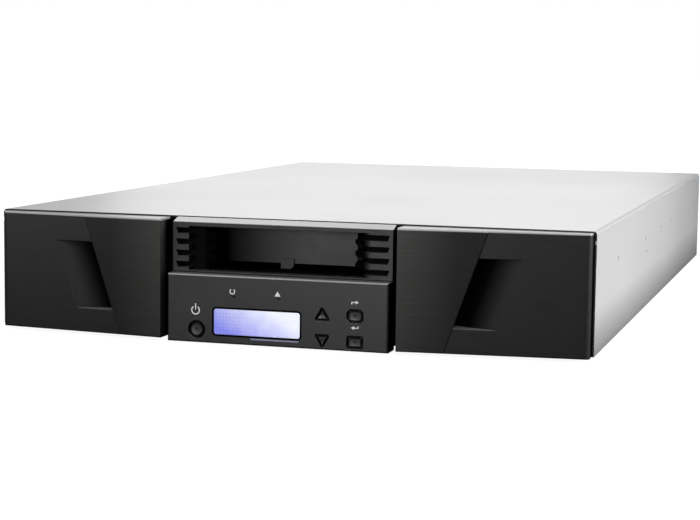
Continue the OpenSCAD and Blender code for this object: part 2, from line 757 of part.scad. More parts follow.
module magazine_motors() color([0.3, 0.3, 0.32]) in_case() for (side = [-1, 1]) on_side(side)
    translate([gear_x0 - 4, motor_y, loop_z]) {
        difference() {
            union() {
                across(-motor_l, 0) circle(pinion_r + 0.6);
                across(-3, 0) round2([-3, -pinion_r - 8], [pinion_r + 1.4, pinion_r + 8], 3);
            }
            across(-9, cut) circle(2.5 + run_gap);
        }
        // Foot that stands on the pan
        block([-30, -3, pan_t - loop_z], [-27, pinion_r, 0]);
    }

// ---------- Mail slot ----------

// One comb of slots from the flank to the mouth; the outer ends lean
module comb(x_flank, x_mouth, deep) {
    for (i = [0 : comb_slots - 1]) {
        z = comb_z - i * comb_pitch;
        along(-bezel_proud - cut, deep)
            polygon([[x_flank + 0.8, z + comb_slot / 2], [x_mouth - cut, z + comb_slot / 2],
                     [x_mouth - cut, z - comb_slot / 2], [x_flank - 0.7, z - comb_slot / 2]]);
    }
}

module mail_slot_bezel() color([0.2, 0.2, 0.21]) in_case() {
    flank = centre_half - 3.2;
    lip_r = 6;
    top = case_h - 0.6;
    lean = atan(bezel_fall / bezel_proud);
    // Round between the upright front and the leaning top
    edge_r = 1;
    edge_y = -bezel_proud + edge_r;
    edge_z = top - bezel_fall + edge_r * (tan(lean) - 1 / cos(lean));
    difference() {
        across(-centre_half, centre_half) {
            polygon([[-bezel_proud, bezel_z0], [-bezel_proud, edge_z], [edge_y, edge_z],
                [edge_y - edge_r * sin(lean), edge_z + edge_r * cos(lean)], [0, top], [0, bezel_z0]]);
            translate([edge_y, edge_z]) circle(edge_r);
        }
        // The mouth; the right-hand bars turn inwards with a round lip
        upward(bezel_z0 + 0.9, mouth_top) difference() {
            plate2([-mouth_left, -bezel_proud - cut], [mouth_right + lip_r, cut]);
            translate([mouth_right + lip_r, -bezel_proud + lip_r]) circle(lip_r);
            plate2([mouth_right, -bezel_proud + lip_r], [mouth_right + lip_r + cut, 2 * cut]);
        }
        comb(flank, mouth_right, cut);
        mirror([1, 0, 0]) comb(flank, mouth_left - 1, cut);
    }
}

// Sheet channel behind the bezel, with moulded guide fingers at its mouth
module mail_slot_guide() color([0.12, 0.12, 0.13]) in_case() {
    y0 = 0;
    difference() {
        union() {
            block([-guide_half, y0, guide_z], [guide_half, guide_y1, guide_z + guide_t]);
            for (side = [-1, 1]) on_side(side) {
                block([guide_half - guide_t, y0 + 3, guide_z], [guide_half, guide_y1, guide_roof]);
                // Rounded fingers that centre a cartridge
                for (i = [0 : comb_slots - 2]) {
                    z = comb_z - (i + 0.5) * comb_pitch;
                    along(y0, y0 + 3) round2([door_half + 0.3, z - 2.6], [guide_half - 0.4, z + 2.6], 2.5);
                }
                block([guide_half - guide_t - 1.4, y0, guide_z], [guide_half, y0 + 3, guide_roof]);
            }
            // Tie across the top
            block([-guide_half, y0, guide_roof - guide_t], [guide_half, y0 + 4, guide_roof]);
        }
        // Bores for the hinge pin
        translate([-guide_half - cut, hinge_y, hinge_z]) rotate([0, 90, 0])
            cylinder(r = pin_r + 0.02, h = 2 * guide_half + 2 * cut);
    }
    // Lip at the mouth's floor
    block([-door_half + 6, y0, guide_z + guide_t], [door_half - 6, y0 + 1, bezel_z0 + 1.2 + guide_t]);
}

module mail_slot_door() color([0.5, 0.51, 0.52]) in_case() difference() {
    union() {
        block([-door_half + 0.5, hinge_y - door_t / 2, door_z0],
              [door_half - 0.5, hinge_y + door_t / 2, hinge_z]);
        across(-door_half + 0.5, door_half - 0.5) translate([hinge_y, hinge_z]) circle(door_barrel);
        // Tab in the middle of the lower edge, one corner cut
        along(hinge_y - door_t / 2 - 1.2, hinge_y + door_t / 2) translate([-1, 0])
            polygon([[-tab_half, door_z0 + 3.6], [-tab_half, door_z0 - tab_drop],
                [tab_half - 2.4, door_z0 - tab_drop],
                     [tab_half, door_z0 - tab_drop + 2.4], [tab_half, door_z0 + 3.6]]);
        // Stiffening rib behind
        block([-door_half + 4, hinge_y, door_z0], [door_half - 4, hinge_y + door_t + 0.6, door_z0 + 1.2]);
    }
    across(-door_half, door_half) translate([hinge_y, hinge_z]) circle(pin_r + run_gap);
}

module door_pin() color("silver") in_case() {
    translate([-guide_half, hinge_y, hinge_z]) rotate([0, 90, 0]) cylinder(r = pin_r, h = 2 * guide_half);
    translate([guide_half, hinge_y, hinge_z]) rotate([0, 90, 0]) cylinder(r = pin_r + 0.8, h = 0.8);
}

// Points of a ring of wire round a coil's path
function coil_point(i, j, turns, per_turn, radius, wire, pitch) =
    let (a = i * 360 / per_turn, b = j * 60)
    [i / per_turn * pitch + wire * sin(b), (radius + wire * cos(b)) * cos(a),
     (radius + wire * cos(b)) * sin(a)];

// Torsion spring round the pin beside the door
module door_spring() color("silver") in_case() {
    turns = 4;
    per_turn = 16;
    wire = 0.35;
    pitch = (guide_half - guide_t - door_half - 0.6 - 2 * wire) / turns;
    radius = pin_r + 1;
    rings = turns * per_turn;
    translate([door_half + 0.6 + wire, hinge_y, hinge_z]) polyhedron(
        points = [for (i = [0 : rings], j = [0 : 5]) coil_point(i, j, turns, per_turn, radius, wire, pitch)],
        faces = concat([for (i = [0 : rings - 1], j = [0 : 5])
                [i * 6 + j, i * 6 + (j + 1) % 6, (i + 1) * 6 + (j + 1) % 6, (i + 1) * 6 + j]],
            [[for (j = [5 : -1 : 0]) j]], [[for (j = [0 : 5]) rings * 6 + j]]));
}

// ---------- Control panel ----------

// Outline of the up key, and upside down of the down key
module arrow2(grow) translate([0, -1]) intersection() {
    rotate(90) circle(2 * (3.3 + grow), $fn = 3);
    circle(5.5 + grow);
}

// Outline of the escape key: a rectangle with its corners cut
module escape2(grow) {
    w = 5.8 + grow;
    h = 4.6 + grow;
    corner = 2.2 + 0.586 * grow;
    polygon([[w - corner, -h], [w, corner - h], [w, h - corner], [w - corner, h],
        [corner - w, h], [-w, h - corner], [-w, corner - h], [corner - w, -h]]);
}

// Outline of the enter key
module enter2(grow) { round2([-5.75 - grow, -4.35 - grow], [5.75 + grow, 4.35 + grow], 1.4 + grow); }

module at_up() { translate([arrow_x, key_z_high]) children(); }
module at_down() { translate([arrow_x, key_z_low]) mirror([0, 1]) children(); }
module at_escape() { translate([word_x, key_z_high]) children(); }
module at_enter() { translate([word_x, key_z_low]) children(); }
module at_power() { translate([power_x, power_z]) children(); }

light_at = [[-32, 32.4], [2, 32.4]];

module control_panel() color([0.2, 0.2, 0.21]) in_case() difference() {
    z0 = -panel_drop;
    c = panel_chamfer;
    union() {
        difference() {
            intersection() {
                across(-centre_half, centre_half) polygon([[panel_y0, z0 + c], [panel_y0 + c, z0],
                    [panel_y1, z0],
                    [panel_y1, panel_top], [panel_y0 + c, panel_top], [panel_y0, panel_top - c]]);
                upward(z0, panel_top) polygon([[-centre_half + c, panel_y0], [centre_half - c, panel_y0],
                    [centre_half, panel_y0 + c], [centre_half, panel_y1], [-centre_half, panel_y1],
                    [-centre_half, panel_y0 + c]]);
            }
            block([-centre_half + panel_skin, panel_in, z0 + panel_skin],
                  [centre_half - panel_skin, panel_y1 + cut, panel_top - panel_skin]);
        }
        // Posts that hold the circuit board, and one at each end that reaches the case
        for (x = [-centre_half + 9, centre_half - 9], z = [6, panel_top - 7]) translate([x, panel_in, z])
            rotate([-90, 0, 0]) cylinder(r = 3, h = board_y - panel_in);
        for (x = [-centre_half + panel_skin, centre_half - panel_skin - 3])
            block([x, panel_in, 12], [x + 3, 0, 34]);
    }
    along(panel_y0 - cut, panel_in + cut) {
        at_power() circle(power_r);
        at_up() arrow2(key_gap);
        at_down() arrow2(key_gap);
        at_escape() escape2(key_gap);
        at_enter() enter2(key_gap);
        round2([window_x0, window_z0], [window_x1, window_z1], 2);
        for (p = light_at) translate(p) circle(1.3);
    }
}

module display_window() color([0.55, 0.57, 0.85, 0.6]) in_case()
    along(panel_y0 + 0.5, panel_y0 + 2)
        round2([window_x0 + 0.1, window_z0 + 0.1], [window_x1 - 0.1, window_z1 - 0.1], 1.9);

module display_module() color([0.6, 0.62, 0.95]) in_case() {
    along(panel_y0 + 2.7, panel_y0 + 6.5)
        plate2([window_x0 - 1.5, window_z0 - 1.5], [window_x1 + 1.5, window_z1 + 1.5]);
    // Screen, behind the window
    along(panel_y0 + 2, panel_y0 + 2.7)
        plate2([window_x0 + 1, window_z0 + 1], [window_x1 - 1, window_z1 - 1]);
    // Legs to the circuit board
    for (x = [window_x0 + 3, window_x1 - 3], z = [window_z0 + 1, window_z1 - 1])
        translate([x, panel_y0 + 6.5, z]) rotate([-90, 0, 0]) cylinder(r = 1, h = board_y - panel_y0 - 6.5);
}

module panel_board() color("darkgreen") in_case() {
    difference() {
        block([-centre_half + 6, board_y, 2.6], [centre_half - 6, board_y + 1.6, panel_top - 4]);
        for (x = [-centre_half + 9, centre_half - 9], z = [6, panel_top - 7]) translate([x, board_y - cut, z])
            rotate([-90, 0, 0]) cylinder(r = 1.6, h = 4);
    }
    // A key switch behind each key
    for (p = [[arrow_x, key_z_low], [arrow_x, key_z_high], [word_x, key_z_low], [word_x, key_z_high],
              [power_x, power_z]])
        block([p[0] - 3, board_y - 3.6, p[1] - 3], [p[0] + 3, board_y, p[1] + 3]);
    // Lamp under each light pipe, socket for the ribbon
    for (p = light_at) translate([p[0], board_y, p[1]]) rotate([90, 0, 0]) cylinder(r = 1.5, h = 2);
    block([cable_x0 - 2, board_y + 1.6, 5], [cable_x1 + 2, board_y + 5.6, 10]);
}
cable_x0 = 30;
cable_x1 = 50;

// A key: its shaped cap, a flange behind the wall, and a plunger; the cap's front is dished
module key(at) in_case() difference() {
    union() {
        along(panel_y0 + 0.2, panel_in + 0.2) children(0);
        along(panel_in + 0.2, panel_in + 1.2) children(1);
        translate([at[0], panel_in, at[1]]) rotate([-90, 0, 0]) cylinder(r = 1.8, h = key_back - panel_in);
    }
    // Dish and the dimple in its middle
    translate([at[0], panel_y0 + 0.2 - 30 + 0.45, at[1]]) sphere(r = 30, $fn = 96);
    translate([at[0], panel_y0 + 0.2, at[1]]) sphere(r = 1.2, $fn = 24);
}

module power_button() color([0.32, 0.32, 0.34]) key([power_x, power_z]) {
    at_power() circle(power_cap_r);
    at_power() circle(power_r + 0.5);
}

module up_button() color([0.32, 0.32, 0.34]) key([arrow_x, key_z_high]) {
    at_up() arrow2(-cap_inset);
    at_up() arrow2(0.6);
}

module down_button() color([0.32, 0.32, 0.34]) key([arrow_x, key_z_low]) {
    at_down() arrow2(-cap_inset);
    at_down() arrow2(0.6);
}

module escape_button() color([0.32, 0.32, 0.34]) key([word_x, key_z_high]) {
    at_escape() escape2(-cap_inset);
    at_escape() escape2(0.6);
}

module enter_button() color([0.32, 0.32, 0.34]) key([word_x, key_z_low]) {
    at_enter() enter2(-cap_inset);
    at_enter() enter2(0.6);
}

module status_lights() color("lightgray") in_case() for (p = light_at)
    along(panel_y0 + 0.1, board_y - 2) translate(p) circle(1.2);

// A flat cable: down from the board's socket, back along the pan, then sideways to the controller
module ribbon_cable() color("gray") in_case() {
    t = 0.9;
    low = pan_t + 0.2;
    y_down = board_y + 5.6;
    block([cable_x0, y_down, 6.4], [cable_x1, y_down + 3, 6.4 + t]);
    block([cable_x0, y_down + 3 - t, 4], [cable_x1, y_down + 3, 6.4 + t]);
    block([cable_x0, y_down + 3 - t, 4], [cable_x1, frame_d + 3, 4 + t]);
    block([cable_x0, frame_d + 3 - t, low], [cable_x1, frame_d + 3, 4 + t]);
    block([cable_x0, frame_d + 3 - t, low], [cable_x1, cable_turn + 10, low + t]);
    block([cable_x0, cable_turn - 10, low], [board_x[0] + 8, cable_turn + 10, low + t]);
    block([board_x[0] + 8 - t, cable_turn - 10, low], [board_x[0] + 8, cable_turn + 10, board_z]);
}

// ---------- Picker ----------

module bed_blocks() {
    for (y = [bed_y0, bed_y1 - 8]) block([-rod_x - 8, y, pan_t + 1.8], [rod_x + 8, y + 8, rod_z + rod_r + 2]);
}

module picker_bed() color("silver") in_case() {
    difference() {
        union() {
            block([rack_x - 12, bed_y0, pan_t], [20, bed_y1, pan_t + 2]);
            difference() {
                bed_blocks();
                block([cable_x0 - 2, bed_y0 - cut, 0], [cable_x1 + 2, bed_y1 + cut, pan_t + 3]);
                block([-rod_x + 16, bed_y0 - cut, pan_t + 8], [rod_x - 16, bed_y1 + cut, rod_z - 4]);
            }
            // The rack, in one piece with the bed
            translate([0, 0, pan_t + 2]) linear_extrude(6) translate([rack_x, picker_y + travel_at[1]])
                rack2(bed_y0 + 8 - picker_y - travel_at[1], bed_y1 - 8 - picker_y - travel_at[1], -8);
        }
        for (x = [-rod_x, rod_x]) translate([x, bed_y0 - cut, rod_z]) rotate([-90, 0, 0])
            cylinder(r = rod_r, h = bed_y1 - bed_y0 + 2 * cut);
    }
}

module picker_rods() color("gainsboro") in_case() for (x = [-rod_x, rod_x])
    translate([x, bed_y0, rod_z]) rotate([-90, 0, 0]) cylinder(r = rod_r, h = bed_y1 - bed_y0);

module in_picker() { in_case() translate([0, picker_y, 0]) children(); }

module picker_carriage() color([0.35, 0.36, 0.38]) in_picker() difference() {
    union() {
        block([-rod_x - 7, -carriage_half, carriage_z], [rod_x + 7, carriage_half, carriage_z + carriage_t]);
        // Housings of the four bushes
        for (x = [-rod_x, rod_x], y = [-bush_y, bush_y]) along(y - bush_l / 2, y + bush_l / 2) {
            translate([x, rod_z]) circle(rod_r + 3.4);
            plate2([x - 5, rod_z], [x + 5, carriage_z + 0.5]);
        }
        translate([0, 0, carriage_z + carriage_t]) cylinder(r = pivot_r + 4, h = 1);
        // Pivot of the turntable
        translate([0, 0, carriage_z]) cylinder(r = pivot_r, h = table_z - carriage_z);
    }
    for (x = [-rod_x, rod_x], y = [-bush_y, bush_y]) translate([x, y - bush_l, rod_z]) rotate([-90, 0, 0])
        cylinder(r = rod_r + 1.6, h = 2 * bush_l);
    for (p = [travel_at, turn_at]) translate([p[0], p[1], carriage_z - cut])
        cylinder(r = 3.4, h = carriage_t + 2 * cut);
}

module picker_bushes() color("goldenrod") in_picker()
    for (x = [-rod_x, rod_x], y = [-bush_y, bush_y])
        along(y - bush_l / 2, y + bush_l / 2) translate([x, rod_z])
        difference() {
            circle(rod_r + 1.6);
            circle(rod_r + run_gap);
        }

// Two stepping motors under the carriage: one rolls on the rack, one turns the table
module picker_motors() color([0.2, 0.2, 0.22]) in_picker()
    for (p = [travel_at, turn_at]) translate([p[0], p[1], 0])
    difference() {
        upward(pan_t + 11, carriage_z) difference() {
            round2([-stepper / 2, -stepper / 2], [stepper / 2, stepper / 2], 4);
            circle(2.5 + run_gap);
        }
        for (x = [-13, 13], y = [-13, 13]) translate([x, y, pan_t + 10]) cylinder(r = 1.5, h = 4);
    }

module travel_pinion() color("goldenrod") in_picker() translate([travel_at[0], travel_at[1], 0]) {
    upward(pan_t + 3, pan_t + 8) gear2(pinion_teeth, 180);
    upward(pan_t + 8, carriage_z - 4) circle(2.5);
}

module turntable_pinion() color("goldenrod") in_picker() translate([turn_at[0], turn_at[1], 0]) {
    // The table's gear has a tooth at -50 degrees, so the pinion has a gap towards it
    upward(gear_z + 0.2, table_z - 0.2) gear2(pinion_teeth, 130 + 180 / pinion_teeth);
    upward(carriage_z - 12, gear_z + 0.2) circle(2.5);
}

// Turntable: gear below, floor with side walls that form the cartridge's way, bridge above
module turntable() color([0.3, 0.31, 0.33]) in_picker() difference() {
    wall_top = rows[1] + cart_t / 2 + 2;
    union() {
        upward(gear_z, table_z) gear2(table_teeth, -50);
        upward(table_z, floor_z) {
            plate2([-table_half, -table_half], [table_half, table_half]);
            plate2([table_half - cut, -table_half], [grip_x + 7, table_half - 6]);
        }
        for (x = [-slot_half - 1.6, slot_half])
            block([x, -table_half, floor_z], [x + 1.6, table_half, wall_top]);
        // Bridge over the rear end
        block([-slot_half - 1.6, table_half - 26, wall_top], [slot_half + 1.6, table_half, wall_top + 1.8]);
        // Rear stop
        block([-slot_half, table_half - 1.6, floor_z], [-slot_half + 24, table_half, wall_top]);
        // Grooved rail in which the gripper's first stage runs
        block([grip_x + 4, -table_half, floor_z], [grip_x + 7, table_half - 6, floor_z + 9]);
    }
    translate([0, 0, gear_z - cut]) cylinder(r = pivot_r + run_gap, h = table_z - gear_z + cut + 0.3);
    // Slot in the right wall for the gripper's finger
    block([slot_half - cut, -table_half - cut, rows[1] - 3],
          [slot_half + 1.6 + cut, table_half - 4, rows[1] + 3]);
    // Round opening in the floor
    translate([0, 0, table_z + 0.6]) cylinder(r = 22, h = floor_z);
}

// First stage: a bar that slides in the turntable's rail
module gripper_rail() color("gainsboro") in_picker() {
    x0 = grip_x + 0.4;
    difference() {
        block([x0, -table_half + 10, floor_z + 0.3], [grip_x + 3.7, table_half - 8, floor_z + 7]);
        block([x0 - cut, -table_half + 8, floor_z + 2.4], [x0 + 1.2, table_half - 6, floor_z + 5]);
    }
}

// Second stage: a slider on the bar, an arm and the finger that takes the cartridge's notch
module picker_gripper() color([0.55, 0.56, 0.58]) in_picker() {
    x0 = grip_x + 0.4;
    y0 = table_half - stage_travel + 4;
    block([x0, y0, floor_z + 7.3], [grip_x + 3.7, y0 + 26, floor_z + 9.4]);
    block([x0, y0, floor_z + 2.7], [x0 + 0.9, y0 + 26, floor_z + 4.7]);
    block([x0 - 1.4, y0, floor_z + 2.7], [x0, y0 + 26, floor_z + 9.4]);
    block([slot_half - 3.4, y0 + 16, rows[1] - 2.2], [x0, y0 + 21, rows[1] + 2.2]);
    block([x0 - 1.4, y0 + 12, floor_z + 7.3], [x0, y0 + 24, rows[1] + 2.2]);
}

// ---------- Rear units ----------

module tape_drive() color([0.16, 0.16, 0.17]) in_case() difference() {
    slot = [cart_w / 2 + 1, cart_t / 2 + 1];
    union() {
        block([-drive_w / 2, drive_y0 + 4, drive_z], [drive_w / 2, drive_y1, drive_z + drive_h]);
        // Feet in front of and behind the ribbon cable
        for (side = [-1, 1], y = [drive_y0 + 8, drive_y1 - 26]) on_side(side)
            block([58, y, pan_t], [64, y + 26, drive_z]);
        along(drive_y0, drive_y0 + 4)
            round2([-drive_w / 2 - 1, drive_z], [drive_w / 2 + 1, drive_z + drive_h], 2);
    }
    // Slot for a cartridge, with a wider lead-in
    along(drive_y0 - cut, drive_y0 + 90) plate2([-slot[0], rows[1] - slot[1]], [slot[0], rows[1] + slot[1]]);
    along(drive_y0 - cut, drive_y0 + 2)
        plate2([-slot[0] - 3, rows[1] - slot[1] - 2], [slot[0] + 3, rows[1] + slot[1] + 2]);
    // Recessed front below the slot
    along(drive_y0 - cut, drive_y0 + 1.4) round2([-60, drive_z + 6], [40, rows[1] - slot[1] - 8], 3);
    for (side = [-1, 1], y = [30, 110])
        translate([side * (drive_w / 2 - 5), drive_y0 + y, drive_z + 10]) rotate([0, 90, 0])
        cylinder(r = 1.5, h = 12, center = true);
}

// Removable carrier of the drive: box, rear plate with a handle, two captive screws
module drive_sled() color("silver") in_case() {
    difference() {
        union() {
            block([-sled_half, drive_y1, drive_z], [sled_half, case_d - 2, roof_z - 4]);
            for (side = [-1, 1]) on_side(side) block([58, drive_y1, pan_t], [64, rear_y - 2, drive_z]);
        }
        block([-sled_half + 3, drive_y1 - cut, drive_z + 3], [sled_half - 3, case_d - 6, roof_z - 7]);
        // Vents
        for (i = [-9 : 9]) along(case_d - 8, case_d + cut) slot2(i * 6, 52, 72, 1.5);
        // Opening of the data connector
        along(case_d - 8, case_d + cut) plate2([-46, 14], [-8, 26]);
    }
    along(case_d - 2, case_d) difference() {
        plate2([-sled_half - 1.6, drive_z + 1.4], [sled_half + 1.6, roof_z - 3.4]);
        for (i = [-9 : 9]) slot2(i * 6, 52, 72, 1.5);
        plate2([-46, 14], [-8, 26]);
    }
    // Data connector inside its opening
    difference() {
        block([-44, case_d - 12, 15.6], [-10, case_d - 1, 24.4]);
        block([-42, case_d - 8, 17], [-12, case_d, 23]);
    }
    block([-44, case_d - 12, drive_z], [-10, case_d - 9, 15.6]);
    // Handle
    difference() {
        block([8, case_d, 34], [58, case_d + handle_proud, 46]);
        block([12, case_d - 0.5, 33], [54, case_d + handle_proud - 3, 47]);
    }
    // Captive screws
    for (x = [-sled_half + 6, sled_half - 6]) translate([x, case_d, 20]) rotate([-90, 0, 0]) {
        cylinder(r = 4.2, h = 6);
        translate([0, 0, 6]) cylinder(r1 = 4.2, r2 = 3.4, h = 1);
    }
}

module power_supply() color("silver") in_case() difference() {
    x0 = supply_x - supply_w / 2;
    x1 = supply_x + supply_w / 2;
    y1 = rear_y - 0.2;
    z1 = supply_z + supply_h;
    union() {
        block([x0, y1 - supply_d, supply_z], [x1, y1, z1]);
        // Step that fills the rear panel's window
        block([x0 + 3.3, y1, supply_z + 3.3], [x1 - 3.3, case_d, z1 - 3.3]);
    }
    // Seats of the inlet and the switch
    along(case_d - 24, case_d + cut) {
        plate2([inlet_at[0] - 14, inlet_at[1] - 10.5], [inlet_at[0] + 14, inlet_at[1] + 10.5]);
        plate2([switch_at[0] - 11, switch_at[1] - 7], [switch_at[0] + 11, switch_at[1] + 7]);
    }
    // Grille of the supply's own fan
    for (i = [-4 : 4], j = [-4 : 4]) if (norm([i, j]) < 4.6)
        along(case_d - 3, case_d + cut)
            translate([supply_x - 24 + i * 5.4, 43 + j * 5.4]) circle(2.1, $fn = 6);
    // Air holes in the front end
    for (i = [-6 : 6]) along(y1 - supply_d - cut, y1 - supply_d + 3)
        slot2(supply_x + i * 8, supply_z + 14, z1 - 14, 2);
}

// Three-pin inlet: a flange with a shrouded recess and the three blades
module power_inlet() color([0.08, 0.08, 0.08]) in_case() {
    cx = inlet_at[0];
    cz = inlet_at[1];
    shape = [[-12, -8], [12, -8], [12, 4], [8, 8], [-8, 8], [-12, 4]];
    difference() {
        union() {
            along(case_d - 24, case_d) plate2([cx - 13.8, cz - 10.3], [cx + 13.8, cz + 10.3]);
            along(case_d, case_d + 2) round2([cx - 18, cz - 12.4], [cx + 18, cz + 12.4], 3);
        }
        along(case_d - 17, case_d + 2 + cut) translate([cx, cz]) polygon(shape);
    }
    for (p = [[-7, -2], [0, 2], [7, -2]])
        block([cx + p[0] - 1, case_d - 18, cz + p[1] - 2], [cx + p[0] + 1, case_d - 3, cz + p[1] + 2]);
    // Frame of the rocker switch, with its two trunnions
    difference() {
        union() {
            along(case_d - 14, case_d) plate2(switch_at - [10.8, 6.8], switch_at + [10.8, 6.8]);
            along(case_d, case_d + 1.2) round2(switch_at - [12.4, 8.4], switch_at + [12.4, 8.4], 1.5);
        }
        along(case_d - 12, case_d + 2 + cut) plate2(switch_at - [9, 5], switch_at + [9, 5]);
    }
    for (s = [-1, 1]) translate([switch_at[0], case_d - 3, switch_at[1] + s * 4.2])
        cylinder(r = 1.2, h = 1.8, center = true);
}

// Rocker: two sloping halves on a pivot
module power_switch() color([0.12, 0.12, 0.12]) in_case()
    translate([switch_at[0], case_d - 3, switch_at[1]]) difference() {
    upward(-4.6, 4.6) polygon([[-7.6, 1], [-6.9, 6], [0, 3.6], [6.9, 3.2], [7.6, -2], [3, -4], [-3, -4]]);
    for (s = [-1, 1]) translate([0, 0, s * 4.2]) cylinder(r = 1.2 + run_gap, h = 2.4, center = true);
}

module fan_frame() color([0.07, 0.07, 0.07]) in_case() translate([fan_x, 0, fan_z]) {
    h = fan_side / 2;
    difference() {
        along(fan_y0, fan_y0 + fan_d) round2([-h, -h], [h, h], 3);
        along(fan_y0 - cut, fan_y0 + fan_d + cut) circle(h - 1.6, $fn = 96);
        for (x = [-h + 4.5, h - 4.5], z = [-h + 4.5, h - 4.5])
            along(fan_y0 - cut, fan_y0 + fan_d + cut) translate([x, z]) circle(1.7);
    }
    // Struts and the motor's seat, at the inner end
    along(fan_y0, fan_y0 + 3) {
        circle(hub_r - 1);
        for (a = [45, 135, 225, 315]) rotate(a) plate2([0, -1.6], [h - 1, 1.6]);
    }
    along(fan_y0 + 3, fan_y0 + fan_d - 6) circle(2);
}

module fan_rotor() color([0.12, 0.12, 0.12]) in_case() translate([fan_x, 0, fan_z]) {
    y0 = fan_y0 + 4;
    y1 = fan_y0 + fan_d - 3;
    difference() {
        along(y0, y1) circle(hub_r);
        along(y0 - cut, y1 - 2) circle(2 + run_gap);
    }
    // Flat blades set at an angle, trimmed to the fan's circle
    intersection() {
        along(y0, y1) difference() {
            circle(fan_side / 2 - 3, $fn = 96);
            circle(hub_r - 1);
        }
        for (i = [0 : fan_blades - 1]) rotate([0, i * 360 / fan_blades, 0]) translate([0, (y0 + y1) / 2, 0])
            rotate([0, 0, 38]) cube([1.4, 28, 2 * fan_side], center = true);
    }
}

// Controller: board, heat sink, chips, and the ports that reach the rear panel
module controller_board() color("darkgreen") in_case() {
    y0 = board_y0;
    top = port_z;
    difference() {
        union() {
            block([board_x[0], y0, board_z], [board_x[1], rear_y - 0.4, board_z + 1.6]);
            for (p = ports)
                block([p[0] - p[1] / 2, rear_y - 17, top], [p[0] + p[1] / 2, case_d - 0.2, top + p[2]]);
            // Plate that frames the ports in the rear panel's window
            along(rear_y, case_d - 0.2) plate2(port_plate[0], port_plate[1]);
            // Heat sink with two grooves
            difference() {
                block([board_x[0] + 14, y0 + 24, top], [board_x[0] + 38, y0 + 48, top + 12]);
                for (i = [0, 1]) block([board_x[0] + 20 + i * 8, y0 + 23, top + 4],
                                       [board_x[0] + 24 + i * 8, y0 + 49, top + 13]);
            }
            block([board_x[0] + 8, y0 + 62, top], [board_x[0] + 44, y0 + 76, top + 8]);
        }
        // Hollows of the ports
        for (p = ports)
            block([p[0] - p[1] / 2 + 1.4, rear_y - 13, top + 1.1],
                  [p[0] + p[1] / 2 - 1.4, case_d + cut, top + p[2] - 1.1]);
    }
    // Stand-offs to the pan
    for (x = [board_x[0] + 5, board_x[1] - 5], y = [y0 + 6, rear_y - 24])
        translate([x, y, pan_t]) cylinder(r = 2.5, h = board_z - pan_t);
}

// ---------- Parts shown ----------

chassis_base();
top_cover();
rear_panel();
front_frame();
bay_walls();
rubber_feet();
rear_screws();
mail_slot_bezel();
mail_slot_guide();
mail_slot_door();
door_pin();
door_spring();
control_panel();
display_window();
display_module();
panel_board();
power_button();
up_button();
down_button();
escape_button();
enter_button();
status_lights();
ribbon_cable();
magazine_front(-1);  // left_magazine_front
magazine_tray(-1);  // left_magazine_tray
carriers(-1);  // left_carriers
cartridges(-1);  // left_cartridges
belt(-1);  // left_belt
front_pulley(-1);  // left_front_pulley
rear_pulley(-1);  // left_rear_pulley
idler_gear(-1);  // left_idler_gear
motor_pinion(-1);  // left_motor_pinion
magazine_front(1);  // right_magazine_front
magazine_tray(1);  // right_magazine_tray
carriers(1);  // right_carriers
cartridges(1);  // right_cartridges
belt(1);  // right_belt
front_pulley(1);  // right_front_pulley
rear_pulley(1);  // right_rear_pulley
idler_gear(1);  // right_idler_gear
motor_pinion(1);  // right_motor_pinion
magazine_motors();
picker_bed();
picker_rods();
picker_carriage();
picker_bushes();
picker_motors();
travel_pinion();
turntable();
turntable_pinion();
gripper_rail();
picker_gripper();
tape_drive();
drive_sled();
power_supply();
power_inlet();
power_switch();
fan_frame();
fan_rotor();
controller_board();
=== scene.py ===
# %% [markdown]
# # A data tape library, dressed round its fixed frame
# The object is a flat steel case, two rack units high. Two black magazines slide out at its front.
# Between them are a mail slot, through which one tape cartridge goes in or out, and a control panel.
# The solids come ready made and never change here. This lesson gives each of them the finish of its
# real material. It adds what is too fine for a solid: the signs printed on the panel, the edge of the
# display's window, and the black rims of the keys.

# %% Load the frame
import math

import bpy
import numpy as np
from mathutils import Matrix, Vector


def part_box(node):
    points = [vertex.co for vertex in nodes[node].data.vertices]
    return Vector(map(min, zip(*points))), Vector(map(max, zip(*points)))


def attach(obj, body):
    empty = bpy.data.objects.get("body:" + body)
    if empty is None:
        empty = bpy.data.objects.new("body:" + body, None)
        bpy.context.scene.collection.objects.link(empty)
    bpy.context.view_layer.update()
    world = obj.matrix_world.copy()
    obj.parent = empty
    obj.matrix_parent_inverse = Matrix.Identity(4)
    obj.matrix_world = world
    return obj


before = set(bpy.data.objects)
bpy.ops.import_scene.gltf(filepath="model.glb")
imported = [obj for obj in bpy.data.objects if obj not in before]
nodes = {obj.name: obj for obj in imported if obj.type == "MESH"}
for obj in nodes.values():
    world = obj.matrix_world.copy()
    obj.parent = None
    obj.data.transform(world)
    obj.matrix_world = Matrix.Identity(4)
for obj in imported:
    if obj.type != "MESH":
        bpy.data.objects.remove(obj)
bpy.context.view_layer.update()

# %% [markdown]
# ## Measures
# Blender counts in metres, but sheet metal and mouldings are measured in millimetres. The case's own
# measures have their zero at its front edge, on the underside of the sheet and halfway across. One
# function turns them into metres, so that no other line has to know where the frame's zero lies.

# %% Lengths in millimetres
MM = 0.001
# The case's front edge and its underside, in metres from the frame's zero
CASE_FRONT = -0.3505
CASE_FOOT = 0.003
# The control panel's front stands 20 mm in front of the case
PANEL_FACE = -20.0


def at_case(x, y, z):
    """A point in metres, from the case's own measures in millimetres."""
    return Vector((x * MM, y * MM + CASE_FRONT, z * MM + CASE_FOOT))


print("panel's front at y =", round(at_case(0, PANEL_FACE, 0).y, 4), "m")

# %% [markdown]
# ## Camera
# A catalogue shows such a machine from about 1.3 m through a long lens, a little above the case and
# to its right, so that its long edges run away at a shallow slant. A Track To constraint
# could aim the camera, but it leaves no place for a small roll. So the camera's turn is built from
# its three angles, as one matrix.

